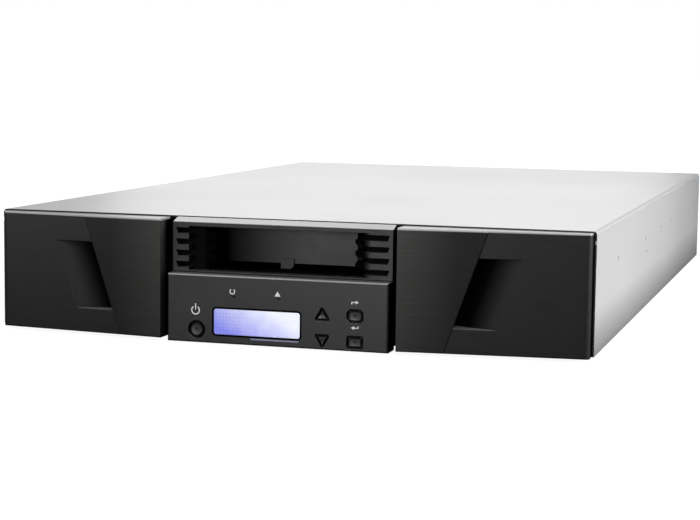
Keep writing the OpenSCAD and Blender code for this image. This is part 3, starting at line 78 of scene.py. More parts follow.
# %% Camera
YAW, PITCH, ROLL = (math.radians(angle) for angle in (-16.5329, 6.33, 0.7199))
CAMERA_AT = (0.40377, -1.54725, 0.20151)
LENS_LENGTH = 91.065
forward = Vector((math.sin(YAW) * math.cos(PITCH), math.cos(YAW) * math.cos(PITCH), -math.sin(PITCH)))
level = Vector((math.cos(YAW), -math.sin(YAW), 0))
upright = level.cross(forward)
right = math.cos(ROLL) * level + math.sin(ROLL) * upright
up = math.cos(ROLL) * upright - math.sin(ROLL) * level

lens = bpy.data.cameras.new("studio_camera")
lens.lens = LENS_LENGTH
lens.sensor_width = 36
lens.clip_start = 0.05
lens.clip_end = 60
camera = bpy.data.objects.new("studio_camera", lens)
bpy.context.scene.collection.objects.link(camera)
turn = Matrix((right, up, -forward)).transposed().to_4x4()
camera.matrix_world = Matrix.Translation(CAMERA_AT) @ turn
bpy.context.scene.camera = camera
bpy.context.scene.view_settings.view_transform = "Standard"
print("camera at", [round(x, 3) for x in CAMERA_AT], "with a lens of", LENS_LENGTH, "mm")

# %% [markdown]
# ## Colours and nodes
# A maker's colour chart gives sRGB values, which hold a curve that suits the eye. A shader adds and
# multiplies light, so it needs linear values. One function turns one into the other.
# A material is a tree of nodes. Each could be made in three or four lines, but one small function
# that adds any node with its settings and links lets a material read as a list of what it is made of.

# %% Colour
def linear(code, share=1.0):
    """Linear colour of an sRGB hex code, share times as bright.

    Each channel c is c/12.92 when dark, and ((c+0.055)/1.055)^2.4 otherwise.
    """
    c = np.array([int(code[i:i + 2], 16) for i in (1, 3, 5)]) / 255
    c = np.where(c <= 0.04045, c / 12.92, ((c + 0.055) / 1.055) ** 2.4)
    return (*(share * float(channel) for channel in c), 1.0)


SHADOW = linear("#020202")
print("mid grey #808080 is", [round(channel, 3) for channel in linear("#808080")])


# %% Nodes
def feed(tree, value, socket):
    """Sets an input to a value, or links it to an output. A node stands for its first output."""
    if isinstance(value, bpy.types.Node):
        value = value.outputs[0]
    if isinstance(value, bpy.types.NodeSocket):
        tree.links.new(value, socket)
    else:
        socket.default_value = value


def add(tree, kind, sockets=None, **settings):
    """Adds a node. settings are its own fields, and sockets maps each input to what feeds it."""
    node = tree.nodes.new("ShaderNode" + kind)
    for field, value in settings.items():
        setattr(node, field, value)
    for name, value in (sockets or {}).items():
        feed(tree, value, node.inputs[name])
    return node


def new_material(name, **surface):
    """An empty material with one Principled shader, and the named sockets of that shader set."""
    made = bpy.data.materials.new(name)
    made.use_nodes = True
    tree = made.node_tree
    tree.nodes.clear()
    shader = add(tree, "BsdfPrincipled", {key.replace("_", " "): value for key, value in surface.items()})
    add(tree, "OutputMaterial", {"Surface": shader})
    return made, tree, shader


print("a node is added by add(tree, kind, sockets, settings)")

# %% [markdown]
# ## Patterns and masks
# Paint, plastic and metal all vary a little from spot to spot. A noise node gives such values, and a
# Map Range node moves them to the range that a colour or a roughness needs. An image could hold the
# pattern too, but a computed one has no seams and keeps its real size in millimetres.
# Some finishes end where the surface faces up or lies deep in an opening. A mask for that is a value
# from 0 to 1, worked out from a point's own place or from the way that the surface faces there.

# %% Patterns
# Most of a noise node's values lie between these two
MOST = (0.35, 0.65)


def spots(tree, size_mm, stretch=(1, 1, 1), detail=3.0, roughness=0.55):
    """Soft random values from 0 to 1, in spots about size_mm across.

    The coordinates are multiplied by stretch: 4 makes the spots four times finer along that axis, and
    0.05 makes them twenty times longer.
    """
    where = add(tree, "Mapping", {"Vector": add(tree, "TexCoord").outputs["Object"], "Scale": stretch})
    return add(tree, "TexNoise", {"Vector": where, "Scale": 1 / (size_mm * MM), "Detail": detail,
                                  "Roughness": roughness}).outputs["Fac"]


def span(value, start, end, low=0.0, high=1.0):
    """What feeds a Map Range node: value runs from start to end, and the result from low to high."""
    return {"Value": value, "From Min": start, "From Max": end, "To Min": low, "To Max": high}


def relief(tree, shader, height, depth_mm, edge_mm, strength=1.0):
    """Gives the shader a surface whose height pattern is depth_mm deep.

    The bevel node turns the normal as if each sharp edge were rounded by edge_mm, so that the edge
    catches a thin line of light.
    """
    rounded_edge = add(tree, "Bevel", {"Radius": edge_mm * MM}, samples=4)
    bump = add(tree, "Bump", {"Height": height, "Distance": depth_mm * MM, "Strength": strength,
                              "Normal": rounded_edge})
    feed(tree, bump, shader.inputs["Normal"])


print("patterns are measured in millimetres")


# %% Masks
def position(tree, axis):
    """Where a point lies along one axis of the frame, in metres."""
    return add(tree, "SeparateXYZ", {"Vector": add(tree, "TexCoord").outputs["Object"]}).outputs[axis]


def distance(tree, axis):
    """How far a point lies from the middle of the machine along one axis, in metres."""
    return add(tree, "Math", {0: position(tree, axis)}, operation="ABSOLUTE")


def facing_up(tree, start=0.45, end=0.85):
    """0 on upright walls and 1 on tops: the upward part of the surface's own normal, from start to end."""
    way = add(tree, "SeparateXYZ", {"Vector": add(tree, "TexCoord").outputs["Normal"]})
    return add(tree, "MapRange", span(way.outputs["Z"], start, end))


def behind(tree, front_mm, start_mm, end_mm):
    """0 at start_mm or less behind an upright plane at y = front_mm, and 1 at end_mm or more behind it."""
    plane = at_case(0, front_mm, 0).y
    return add(tree, "MapRange", span(position(tree, "Y"), plane + start_mm * MM, plane + end_mm * MM))


print("masks run from 0 to 1")

# %% [markdown]
# ## Sheet steel
# The case is folded from steel sheet, 1.2 mm thick in the cover and 1 mm in the pan. The cover is
# sprayed silver grey. The paint holds fine metal flake, so it shines softly like satin and lets no
# single lamp stand out: a shader that is three tenths metal does the same. Sprayed paint dries with a
# faint orange peel, about a hundredth of a millimetre high, in spots 1 to 2 mm apart. A height pattern
# gives that, because as geometry it would need millions of faces.
# The pan and the inside are bare zinc-plated sheet, a plain metal: cloudy grey, with faint rolling lines.

# %% Painted sheet
# The cover's cut front edge, behind the case's zero, and how far up its painted foot shade reaches
COVER_FRONT = 0.6
FOOT_TOP = 36 * MM


def painted_sheet(name, code, roughness, peel_mm=0.9, foot=None, **surface):
    """Sprayed paint: one colour that drifts a little over a hand's width, over a fine orange peel.

    foot is a painted shade for the lowest part of the walls: the pale floor throws most light there, and
    the colour darkens downwards to even that out. The sheet's cut front edge is then painted black too,
    a painted shade that stands as a dark line between the cover and the faces.
    """
    made, tree, shader = new_material(name, Roughness=roughness, **surface)
    drift = add(tree, "MapRange", span(spots(tree, 240, detail=1), *MOST))
    # A Mix node for colours has its share at input 0, its colours at 6 and 7, and its result at output 2
    colour = add(tree, "Mix", {0: drift, 6: linear(code), 7: linear(code, 0.94)},
                 data_type="RGBA").outputs[2]
    if foot:
        # Painted shade: the colour darkens towards the foot
        low_down = add(tree, "MapRange", span(position(tree, "Z"), CASE_FOOT, FOOT_TOP, 1, 0))
        colour = add(tree, "Mix", {0: low_down, 6: colour, 7: linear(foot)}, data_type="RGBA").outputs[2]
        # Painted shade: the cut front edge turns black, for the dark gap line before the faces
        past_edge = behind(tree, COVER_FRONT, start_mm=0.1, end_mm=0.2)
        colour = add(tree, "Mix", {0: past_edge, 6: linear("#030303"), 7: colour},
                     data_type="RGBA").outputs[2]
    feed(tree, colour, shader.inputs["Base Color"])
    gloss = add(tree, "MapRange", span(spots(tree, 60, detail=1), *MOST, roughness - 0.01, roughness + 0.01))
    feed(tree, gloss, shader.inputs["Roughness"])
    relief(tree, shader, spots(tree, peel_mm, detail=2), depth_mm=0.01, edge_mm=0.5)
    return made


# Flake paint: an even satin sheen without a sharp image in it. Its foot colour is a painted shade
COVER_PAINT = painted_sheet("flake_paint_on_steel", "#d2d3d2", 0.36, peel_mm=1.6, foot="#858685",
                            Metallic=0.3)
# Matt black paint: takes up nearly all light, so that the bands round the faces read as gaps
FRAME_PAINT = painted_sheet("matt_black_frame_paint", "#050505", 0.7, Specular_IOR_Level=0.08)
# Stove enamel: dark, with a soft gloss
MOTOR_PAINT = painted_sheet("dark_stove_enamel", "#2b2c2e", 0.45)
print("paints:", COVER_PAINT.name, FRAME_PAINT.name, MOTOR_PAINT.name)


# %% Plated sheet
def rolled_sheet(name, code, roughness, stretch):
    """Plated sheet: cloudy grey, with rolling lines about half a millimetre apart along one axis."""
    made, tree, shader = new_material(name, Metallic=1.0, Roughness=roughness)
    cloud = add(tree, "MapRange", span(spots(tree, 18, detail=4), *MOST))
    colour = add(tree, "Mix", {0: cloud, 6: linear(code), 7: linear(code, 0.82)},
                 data_type="RGBA").outputs[2]
    feed(tree, colour, shader.inputs["Base Color"])
    lines = spots(tree, 0.6, stretch, detail=2)
    gloss = add(tree, "MapRange", span(lines, *MOST, roughness - 0.06, roughness + 0.08))
    feed(tree, gloss, shader.inputs["Roughness"])
    relief(tree, shader, lines, depth_mm=0.006, edge_mm=0.25)
    return made


# Zinc plating: clouded grey, with a shine that is drawn out from front to back
PLATED = rolled_sheet("zinc_plated_rolled_steel", "#b3b7b8", 0.38, (1, 0.05, 1))
# The supply's can: a little brighter, with its lines running across the machine
SUPPLY_CASE = rolled_sheet("stamped_supply_can", "#c0c4c5", 0.3, (0.05, 1, 1))
print("plated:", PLATED.name, SUPPLY_CASE.name)

# %% [markdown]
# ## Turned and cast metal
# Rods and pins are ground bright, and their shine is sharp. Gears and bushes are turned from brass,
# with a warm colour. The cutting lines could be modelled as grooves, but they are far too fine: they
# vary how sharp the shine is, and that is all that an eye sees of them.
# The robot's carriage is pressure cast. The metal chills against the mould and keeps its skin, dull,
# grainy and blotchy, so its colour, its roughness and its height all vary.

# %% Bright metal
def turned_metal(name, code, roughness):
    """Cut or ground metal: fine lines, four times finer from front to back, the way the rods run."""
    made, tree, shader = new_material(name, Base_Color=linear(code), Metallic=1.0, Roughness=roughness)
    lines = spots(tree, 0.3, (1, 4, 1), detail=2)
    gloss = add(tree, "MapRange", span(lines, *MOST, roughness * 0.7, roughness * 1.5))
    feed(tree, gloss, shader.inputs["Roughness"])
    relief(tree, shader, lines, depth_mm=0.003, edge_mm=0.15)
    return made


# Ground steel: a narrow, bright line of light along each rod
GROUND_STEEL = turned_metal("ground_bright_steel", "#cfd1d2", 0.16)
# Brass: the same shine, but warm
BRASS = turned_metal("turned_brass", "#c9a45c", 0.24)
print("bright metals:", GROUND_STEEL.name, BRASS.name)


# %% Cast metal
def cast_metal(name, code):
    """Pressure-cast metal: grains about a millimetre across, under dull blotches about 9 mm across."""
    made, tree, shader = new_material(name, Metallic=1.0, Roughness=0.5)
    blotch = add(tree, "MapRange", span(spots(tree, 9, detail=5), *MOST))
    colour = add(tree, "Mix", {0: blotch, 6: linear(code), 7: linear(code, 0.75)},
                 data_type="RGBA").outputs[2]
    feed(tree, colour, shader.inputs["Base Color"])
    grain = spots(tree, 0.9, detail=4)
    feed(tree, add(tree, "MapRange", span(grain, *MOST, 0.42, 0.6)), shader.inputs["Roughness"])
    relief(tree, shader, grain, depth_mm=0.03, edge_mm=0.6)
    return made


# Bare aluminium: dull, grainy grey
CAST_ALUMINIUM = cast_metal("die_cast_aluminium", "#8e9194")
# The tape drive's case: the same grain, blackened
DRIVE_CASE = cast_metal("black_painted_casting", "#2a2b2d")
print("castings:", CAST_ALUMINIUM.name, DRIVE_CASE.name)

# %% [markdown]
# ## Moulded plastic
# A mould for a cover is etched by sparks, so the plastic comes out with a fine, even texture that
# breaks up its gloss. The grain is a few tenths of a millimetre wide. From a metre away it doesn't show
# as bumps, only as a satin sheen, but near an edge it still softens the light. One function makes all
# the plastics, because they differ only in colour, gloss and grain.
# What faces up on the bezel and the panel is painted smooth silver grey: a painted reflection of the bright
# studio that these tops mirror. In the panel's openings and round its keys the plastic is painted matt
# black: painted shade, because little light finds its way in there.

# %% Moulded plastic
def moulded(name, code, roughness, grain_mm=0.5, depth_mm=0.02, edge_mm=0.4, ior=1.52, top=None, deep=None,
            dim=None, **surface):
    """Moulded plastic: spark-etched grain grain_mm wide and depth_mm deep, and a slow drift in gloss.

    top is the colour code of a painted reflection on what faces up: a smooth silver grey. deep gives two
    depths behind the panel's front: the surface is painted matt black from the first to the second, as
    painted shade. dim gives two places across the machine: painted shade, matt black up to the first, and
    its own colour from the second on.
    """
    made, tree, shader = new_material(name, Roughness=roughness, IOR=ior, **surface)
    colour = linear(code)
    strength = 1.0
    drift = spots(tree, 14, detail=3)
    gloss = add(tree, "MapRange", span(drift, *MOST, roughness - 0.04, roughness + 0.05))
    if deep:
        # Painted shade: matt black deep behind the panel's front, in openings and round the keys
        dark = behind(tree, PANEL_FACE, *deep)
        colour = add(tree, "Mix", {0: dark, 6: colour, 7: SHADOW}, data_type="RGBA").outputs[2]
        mirror = add(tree, "MapRange", span(dark, 0, 1, 0.5, 0.05))
        feed(tree, mirror, shader.inputs["Specular IOR Level"])
    if dim:
        # Painted shade: matt black up to dim[0] across the machine
        lit = add(tree, "MapRange", span(position(tree, "X"), dim[0] * MM, dim[1] * MM))
        colour = add(tree, "Mix", {0: lit, 6: SHADOW, 7: colour}, data_type="RGBA").outputs[2]
        mirror = add(tree, "MapRange", span(lit, 0, 1, 0, 0.5))
        feed(tree, mirror, shader.inputs["Specular IOR Level"])
    if top:
        # Painted reflection: what faces up is drawn silver grey, smooth and partly metal
        top_sheen = facing_up(tree)
        colour = add(tree, "Mix", {0: top_sheen, 6: colour, 7: linear(top)}, data_type="RGBA").outputs[2]
        gloss = add(tree, "MapRange", span(top_sheen, 0, 1, gloss, 0.2))
        strength = add(tree, "MapRange", span(top_sheen, 0, 1, 1, 0))
        feed(tree, add(tree, "MapRange", span(top_sheen, 0, 1, 0, 0.6)), shader.inputs["Metallic"])
    feed(tree, colour, shader.inputs["Base Color"])
    feed(tree, gloss, shader.inputs["Roughness"])
    relief(tree, shader, spots(tree, grain_mm, detail=3, roughness=0.7), depth_mm, edge_mm, strength)
    return made


print("plastic is made by moulded(name, code, roughness)")

# %% Plastics at the front
# The bezel: deep black, with a dull sheen. Its tops carry a painted reflection in silver grey
BEZEL = moulded("spark_etched_abs_black", "#060607", 0.4, top="#767778")
# The guide behind the bezel, the gasket and the keys' rims: hardly any shine. Its near black is the
# gasket's own colour, and painted shade on the guide deep in the mouth and on the keys' rims
GUIDE = moulded("matt_black_gasket_and_shade", "#020202", 0.8, Specular_IOR_Level=0.04)
# The mail slot's door: dark grey. Its left end is painted shade, matt black, as it lies deep in the shade
# of the slot
DOOR = moulded("moulded_abs_grey", "#1a1a1c", 0.42, dim=(-48, 10))
# The control panel: charcoal, with a satin sheen. Its tops carry a painted reflection in silver grey, and
# its openings painted shade
PANEL = moulded("satin_abs_charcoal", "#161618", 0.36, grain_mm=0.6, edge_mm=0.5, top="#b4b5b6",
                deep=(1.0, 1.6))
# The keys: lighter and smoother than the panel, so that a cap stands out. Their sides are painted shade:
# they turn black CAP_LIT behind the cap's front, and are fully black CAP_FADE further in
CAP_LIT = 1.3
CAP_FADE = 0.5
cap_front = (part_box("up_button")[0].y - at_case(0, PANEL_FACE, 0).y) / MM
KEY_CAP = moulded("moulded_key_black", "#303032", 0.34, grain_mm=0.4, depth_mm=0.01, edge_mm=0.3,
                  deep=(cap_front + CAP_LIT, cap_front + CAP_LIT + CAP_FADE))
print("front plastics:", BEZEL.name, DOOR.name, PANEL.name, "; caps lie", round(cap_front, 2), "mm back")

# %% Plastics inside and behind
# Nylon full of glass fibre: grey-black, and rough where the fibres reach the skin
CARRIER = moulded("glass_filled_nylon", "#232427", 0.5, grain_mm=0.8, depth_mm=0.04)
# The cartridges' shells: blue-black, with a fine, deep grain
SHELL = moulded("cartridge_polycarbonate", "#1d2026", 0.4, grain_mm=0.35, depth_mm=0.03)
# Acetal gears and pulleys: off-white and waxy
ACETAL = moulded("natural_acetal", "#e4e1d4", 0.35, grain_mm=0.8, depth_mm=0.01, edge_mm=0.2, ior=1.48)
# The fan, the inlet and the rocker switch: plain, even black
BLACK_PBT = moulded("black_pbt", "#0e0e0f", 0.45)
# The feet and the belts: black and dull
RUBBER = moulded("moulded_rubber", "#0b0b0b", 0.8, grain_mm=0.7, depth_mm=0.04)
BELT = moulded("neoprene_belt", "#080808", 0.7, grain_mm=0.3, edge_mm=0.1)
print("inner plastics:", CARRIER.name, SHELL.name, ACETAL.name, BLACK_PBT.name, RUBBER.name, BELT.name)

# %% [markdown]
# ## The magazines' faces
# The two faces are black with fine level brush lines, as if a wire brush had been drawn from side to
# side before a thin clear coat. The real lines are about 0.1 mm apart. That is finer than a view of
# the whole machine can show, so these are drawn 0.4 mm apart. They are stretched along X: the pattern
# changes fast up the face and slowly along it. It varies the height, the gloss and, faintly, the colour.
# The brush and the clear coat reach only the front. The finger pulls and the sides are painted shade:
# they fade to matt black from 2 to 12 mm behind the front.
# The tops, and the uppermost millimetre or so of the front, carry silver grey: a painted reflection, a
# light line on the black.
# Brushed lacquer never shines evenly, because its lines throw a lamp's light up and down. An anisotropic
# shader could show that, with lamps placed for each flat. Here the broad change from bright to dark is
# drawn into the colour instead, which takes a few masks and holds under any lamp.

# %% Where the faces lie
# A face's inner and outer edge, across from the machine's middle, and how far each stands in front of
# the case
FACE_IN = 88.2
FACE_OUT = 221.3
FACE_PROUD = 20
FACE_OUTER_PROUD = 6
# The crease leans outwards as it rises: how far it is from the machine's middle, below and above
CREASE_FOOT = 122
CREASE_TOP = 152
face_foot = at_case(0, 0, 0).z
face_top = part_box("left_magazine_front")[1].z


def behind_face(tree, start_mm, end_mm):
    """0 at start_mm or less behind the plane of a face, and 1 at end_mm or more behind it.

    The plane's y runs evenly from -FACE_PROUD at FACE_IN to -FACE_OUTER_PROUD at FACE_OUT.
    """
    inner, outer = (at_case(0, -proud, 0).y for proud in (FACE_PROUD, FACE_OUTER_PROUD))
    plane = add(tree, "MapRange", span(distance(tree, "X"), FACE_IN * MM, FACE_OUT * MM, inner, outer))
    depth = add(tree, "Math", {0: position(tree, "Y"), 1: plane}, operation="SUBTRACT")
    return add(tree, "MapRange", span(depth, start_mm * MM, end_mm * MM))


print("faces from", FACE_IN, "to", FACE_OUT, "mm; their top is at z =", round(face_top, 4), "m")

# %% Brushed faces
# The painted sheen: how bright the lacquer is drawn, against its own colour: beside the panel, at the
# crease, past the crease
TONE_INNER = 3.4
TONE_CREASE = 0.2
TONE_OUTER = 1.25
# The same against the height on the face
TONE_LOW = 0.75
TONE_HIGH = 1.25
# The crease's tone is reached this far past its foot, and the change at the crease is this wide each way
CREASE_REACH = 8
CREASE_WIDTH = 0.3
# The painted reflection, a silver line, begins this far below the face's top, and is full from this far
# below it
RIM_START = 1.6
RIM_FULL = 1.1


def painted_face_sheen(tree):
    """Painted sheen: how bright the lacquer is drawn. The inner flat falls towards the crease; the outer is
    even.

    The crease is as far out as a straight line from CREASE_FOOT to CREASE_TOP at that height. Both
    flats grow brighter with the height.
    """
    rise = position(tree, "Z")
    out = distance(tree, "X")
    crease = add(tree, "MapRange", span(rise, face_foot, face_top, CREASE_FOOT * MM, CREASE_TOP * MM))
    beyond = add(tree, "Math", {0: out, 1: crease}, operation="SUBTRACT")
    side = add(tree, "MapRange", span(beyond, -CREASE_WIDTH * MM, CREASE_WIDTH * MM))
    inner = add(tree, "MapRange", span(out, FACE_IN * MM, (CREASE_FOOT + CREASE_REACH) * MM,
                                       TONE_INNER, TONE_CREASE))
    tone = add(tree, "Mix", {0: side, 2: inner, 3: TONE_OUTER})
    height = add(tree, "MapRange", span(rise, face_foot, face_top, TONE_LOW, TONE_HIGH))
    return add(tree, "Math", {0: tone, 1: height}, operation="MULTIPLY")


def brushed_face(name, code, streak_code, top_code, line_mm, depth_mm):
    """Brushed and coated black: lines that run level, line_mm apart and depth_mm deep."""
    made, tree, shader = new_material(name, Roughness=0.35, IOR=1.5)
    lines = spots(tree, line_mm, (0.02, 0.02, 1), detail=2, roughness=0.6)
    streak = add(tree, "MapRange", span(lines, 0.3, 0.75))
    brushed = add(tree, "Mix", {0: streak, 6: linear(code), 7: linear(streak_code)},
                  data_type="RGBA").outputs[2]
    # Painted sheen: the brushed colour times the drawn brightness of each flat
    lacquer = add(tree, "VectorMath", {0: brushed, 1: painted_face_sheen(tree)}, operation="MULTIPLY")
    rise = position(tree, "Z")
    # Painted reflection: silver grey on the tops and along the uppermost line of the front
    rim = add(tree, "MapRange", span(rise, face_top - RIM_START * MM, face_top - RIM_FULL * MM))
    top_sheen = add(tree, "Math", {0: facing_up(tree, start=0.3, end=0.8), 1: rim}, operation="MAXIMUM")
    no_top_sheen = add(tree, "MapRange", span(top_sheen, 0, 1, 1, 0))
    # Painted shade: matt black from 2 to 12 mm behind the face, in the finger pulls and on the sides
    matt = add(tree, "Math", {0: behind_face(tree, start_mm=2, end_mm=12), 1: no_top_sheen}, operation="MULTIPLY")
    front = add(tree, "Mix", {0: matt, 6: lacquer, 7: SHADOW}, data_type="RGBA").outputs[2]
    colour = add(tree, "Mix", {0: top_sheen, 6: front, 7: linear(top_code)}, data_type="RGBA").outputs[2]
    feed(tree, colour, shader.inputs["Base Color"])
    feed(tree, add(tree, "MapRange", span(top_sheen, 0, 1, 0, 0.4)), shader.inputs["Metallic"])
    shine = add(tree, "MapRange", span(lines, *MOST, 0.28, 0.32))
    gloss = add(tree, "MapRange", span(top_sheen, 0, 1, shine, 0.3))
    feed(tree, add(tree, "MapRange", span(matt, 0, 1, gloss, 0.8)), shader.inputs["Roughness"])
    feed(tree, add(tree, "MapRange", span(matt, 0, 1, 0.34, 0.05)), shader.inputs["Specular IOR Level"])
    relief(tree, shader, lines, depth_mm, edge_mm=0.8, strength=no_top_sheen)
    return made


# The top code #b4b5b6 is the painted reflection on the faces' tops
FACE = brushed_face("brushed_black_lacquer", "#161615", "#1f1f1e", "#b4b5b6", line_mm=0.4, depth_mm=0.008)
print("faces:", FACE.name)

# %% [markdown]
# ## Boards, cable and clear parts
# A circuit board is glass fibre under green lacquer, with copper tracks that show as paler lines.
# The tracks here are a brick pattern: rows of long bars, some pale and some dark.
# A flat cable is a row of round cores 1.27 mm apart under grey PVC. Its relief is a row of ridges, which
# a wave node gives in one step. The window and the light pipes are clear acrylic, whose index of
# refraction is 1.49, so what lies behind them shows through.

# %% Boards and cable
# A wave node repeats after this length at a scale of 1
WAVE_LENGTH = math.pi / 10
# The brick node's lengths below are shares of this one
BRICK_UNIT = 6 * MM


def laminate(name, code, track_code):
    """Circuit board: green lacquer, with copper tracks a quarter of BRICK_UNIT apart below it."""
    made, tree, shader = new_material(name, Roughness=0.3, IOR=1.55)
    where = add(tree, "TexCoord").outputs["Object"]
    white, black = linear("#ffffff"), linear("#000000")
    bricks = add(tree, "TexBrick", {"Vector": where, "Scale": 1 / BRICK_UNIT, "Mortar Size": 0.03,
                                    "Brick Width": 1.6, "Row Height": 0.25, "Color1": white,
                                    "Color2": black, "Mortar": black})
    colour = add(tree, "Mix", {0: bricks, 6: linear(code), 7: linear(track_code)},
                 data_type="RGBA").outputs[2]
    feed(tree, colour, shader.inputs["Base Color"])
    relief(tree, shader, bricks, depth_mm=0.03, edge_mm=0.2)
    return made


def flat_cable(name, code, pitch_mm):
    """Flat cable: ridges pitch_mm apart, as a sine wave across the machine."""
    made, tree, shader = new_material(name, Base_Color=linear(code), Roughness=0.45, IOR=1.53)
    cores = add(tree, "TexWave", {"Vector": add(tree, "TexCoord").outputs["Object"],
                                  "Scale": WAVE_LENGTH / (pitch_mm * MM), "Distortion": 0.0},
                bands_direction="X")
    relief(tree, shader, cores.outputs["Fac"], depth_mm=0.3, edge_mm=0.2)
    return made


# Green lacquer: glossy, with slightly paler bars
BOARD = laminate("solder_mask_laminate", "#0d3a1e", "#1c5a31")
# Grey PVC: soft and ribbed
RIBBON = flat_cable("grey_pvc_ribbon", "#8b8d90", pitch_mm=1.27)
print("board and cable:", BOARD.name, RIBBON.name)


# %% Clear acrylic
def clear_acrylic(name, roughness):
    """Clear moulded acrylic: light passes through, and a faint ripple from the mould bends it."""
    made, tree, shader = new_material(name, Base_Color=linear("#ffffff"), Roughness=roughness, IOR=1.49,
                                      Transmission_Weight=1.0)
    relief(tree, shader, spots(tree, 6, detail=1), depth_mm=0.004, edge_mm=0.2)
    return made


# The window is polished, and the light pipes are frosted, so that a lamp behind them would spread
WINDOW = clear_acrylic("clear_acrylic_window", roughness=0.03)
PIPE = clear_acrylic("frosted_acrylic_pipe", roughness=0.25)
print("clear parts:", WINDOW.name, PIPE.name)

# %% [markdown]
# ## The lit display
# The display is a liquid crystal screen, lit in blue violet. The light is strongest at its upper right,
# nearly white, and turns a deeper violet towards the lower left. A lamp behind a frosted sheet would be
# the real way, but it takes many samples to render. So the colour goes to the shader's emission.
# Over the light lies the fine mesh between the dots of the characters. Real dots are about 0.6 mm apart,
# too fine to show here, so the mesh is drawn 2.5 mm apart, and only where the light is weak.

# %% Display
# What the height adds to the light, at the screen's lower and upper edge. From left to right it grows
# from 0 to 1, and the cloud changes it by CLOUD at most
LAMP_LOW = -0.2
LAMP_HIGH = 0.34
CLOUD = 0.15
# The mesh leaves this share of the light at its darkest, and fades out between these shares of the
# width. Its lines begin where a cosine is above MESH_EDGE
MESH_DIM = 0.84
MESH_FADE = (0.25, 0.5)
MESH_EDGE = 0.6


def lit_screen(name, low_code, high_code, dot_mm):
    """Lit screen: the share of high_code is how far right plus how far up a point lies, and some cloud.

    The mesh is the greater of two cosines, one across and one up, that repeat every dot_mm.
    """
    made, tree, shader = new_material(name, Base_Color=linear("#20222c"), Roughness=0.3,
                                      Emission_Strength=1.0)
    x = position(tree, "X")
    z = position(tree, "Z")
    across = add(tree, "MapRange", span(x, low.x, high.x))
    rise = add(tree, "MapRange", span(z, low.z, high.z, LAMP_LOW, LAMP_HIGH))
    cloud = add(tree, "MapRange", span(spots(tree, 9, detail=2), 0, 1, -CLOUD, CLOUD))
    lamp = add(tree, "Math", {0: across, 1: rise}, operation="ADD")
    share = add(tree, "Math", {0: lamp, 1: cloud}, operation="ADD", use_clamp=True)
    glow = add(tree, "Mix", {0: share, 6: linear(low_code), 7: linear(high_code)},
               data_type="RGBA").outputs[2]
    waves = []
    for place in (x, z):
        turns = add(tree, "Math", {0: place, 1: 2 * math.pi / (dot_mm * MM)}, operation="MULTIPLY")
        waves.append(add(tree, "Math", {0: turns}, operation="COSINE"))
    mesh = add(tree, "Math", {0: waves[0], 1: waves[1]}, operation="MAXIMUM")
    dimmest = add(tree, "MapRange", span(across, *MESH_FADE, MESH_DIM, 1))
    fade = add(tree, "MapRange", span(mesh, MESH_EDGE, 1, 1, dimmest))
    shown = add(tree, "VectorMath", {0: glow, 1: fade}, operation="MULTIPLY")
    feed(tree, shown, shader.inputs["Emission Color"])
    return made


low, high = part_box("display_window")
SCREEN = lit_screen("backlit_crystal_screen", "#878bef", "#f0f3ff", dot_mm=2.5)
print("display", [round((b - a) / MM, 1) for a, b in zip(low, high)], "mm")

# %% [markdown]
# ## Which solid has which finish
# Every solid gets its material by name. A solid's own mesh and place never change: only its material
# slots do. Materials could be chosen one by one in Blender's window, but a list in the script shows at
# a glance what is made of what. The last line prints any solid that the list leaves out.

# %% Dress the solids
dress = {
    COVER_PAINT: "top_cover",
    PLATED: "chassis_base rear_panel bay_walls picker_bed drive_sled left_magazine_tray right_magazine_tray "
            "picker_gripper",
    FRAME_PAINT: "front_frame",
    MOTOR_PAINT: "magazine_motors picker_motors",
    GROUND_STEEL: "rear_screws door_pin door_spring picker_rods gripper_rail",
    BRASS: "left_motor_pinion right_motor_pinion travel_pinion turntable_pinion picker_bushes",
    CAST_ALUMINIUM: "picker_carriage",
    DRIVE_CASE: "tape_drive",
    SUPPLY_CASE: "power_supply",
    BEZEL: "mail_slot_bezel",
    GUIDE: "mail_slot_guide",
    DOOR: "mail_slot_door",
    PANEL: "control_panel",
    KEY_CAP: "power_button up_button down_button escape_button enter_button",
    CARRIER: "left_carriers right_carriers turntable",
    SHELL: "left_cartridges right_cartridges",
    ACETAL: "left_front_pulley left_rear_pulley left_idler_gear "
            "right_front_pulley right_rear_pulley right_idler_gear",
    BLACK_PBT: "power_inlet power_switch fan_frame fan_rotor",
    RUBBER: "rubber_feet",
    BELT: "left_belt right_belt",
    FACE: "left_magazine_front right_magazine_front",
    BOARD: "panel_board controller_board",
    RIBBON: "ribbon_cable",
    WINDOW: "display_window",
    PIPE: "status_lights",
    SCREEN: "display_module",
}
dressed = set()
for material, names in dress.items():
    for name in names.split():
        mesh = nodes[name].data
        mesh.materials.clear()
        mesh.materials.append(material)
        dressed.add(name)
print("dressed", len(dressed), "solids; left over:", sorted(set(nodes) - dressed))

# %% [markdown]
# ## New surfaces from rows of points
# What is too fine for a solid is made here as numpy grids: rings of points, one after the other, with
# a face between each four neighbours. Curves with a bevel could draw the same strokes, but here a
# shape is only a formula for its rings, and the rings can follow the panel and the dished keys.
# A closed skin has to face outwards. Its volume, worked out from its own faces, tells: if that is
# negative, the faces are turned round.

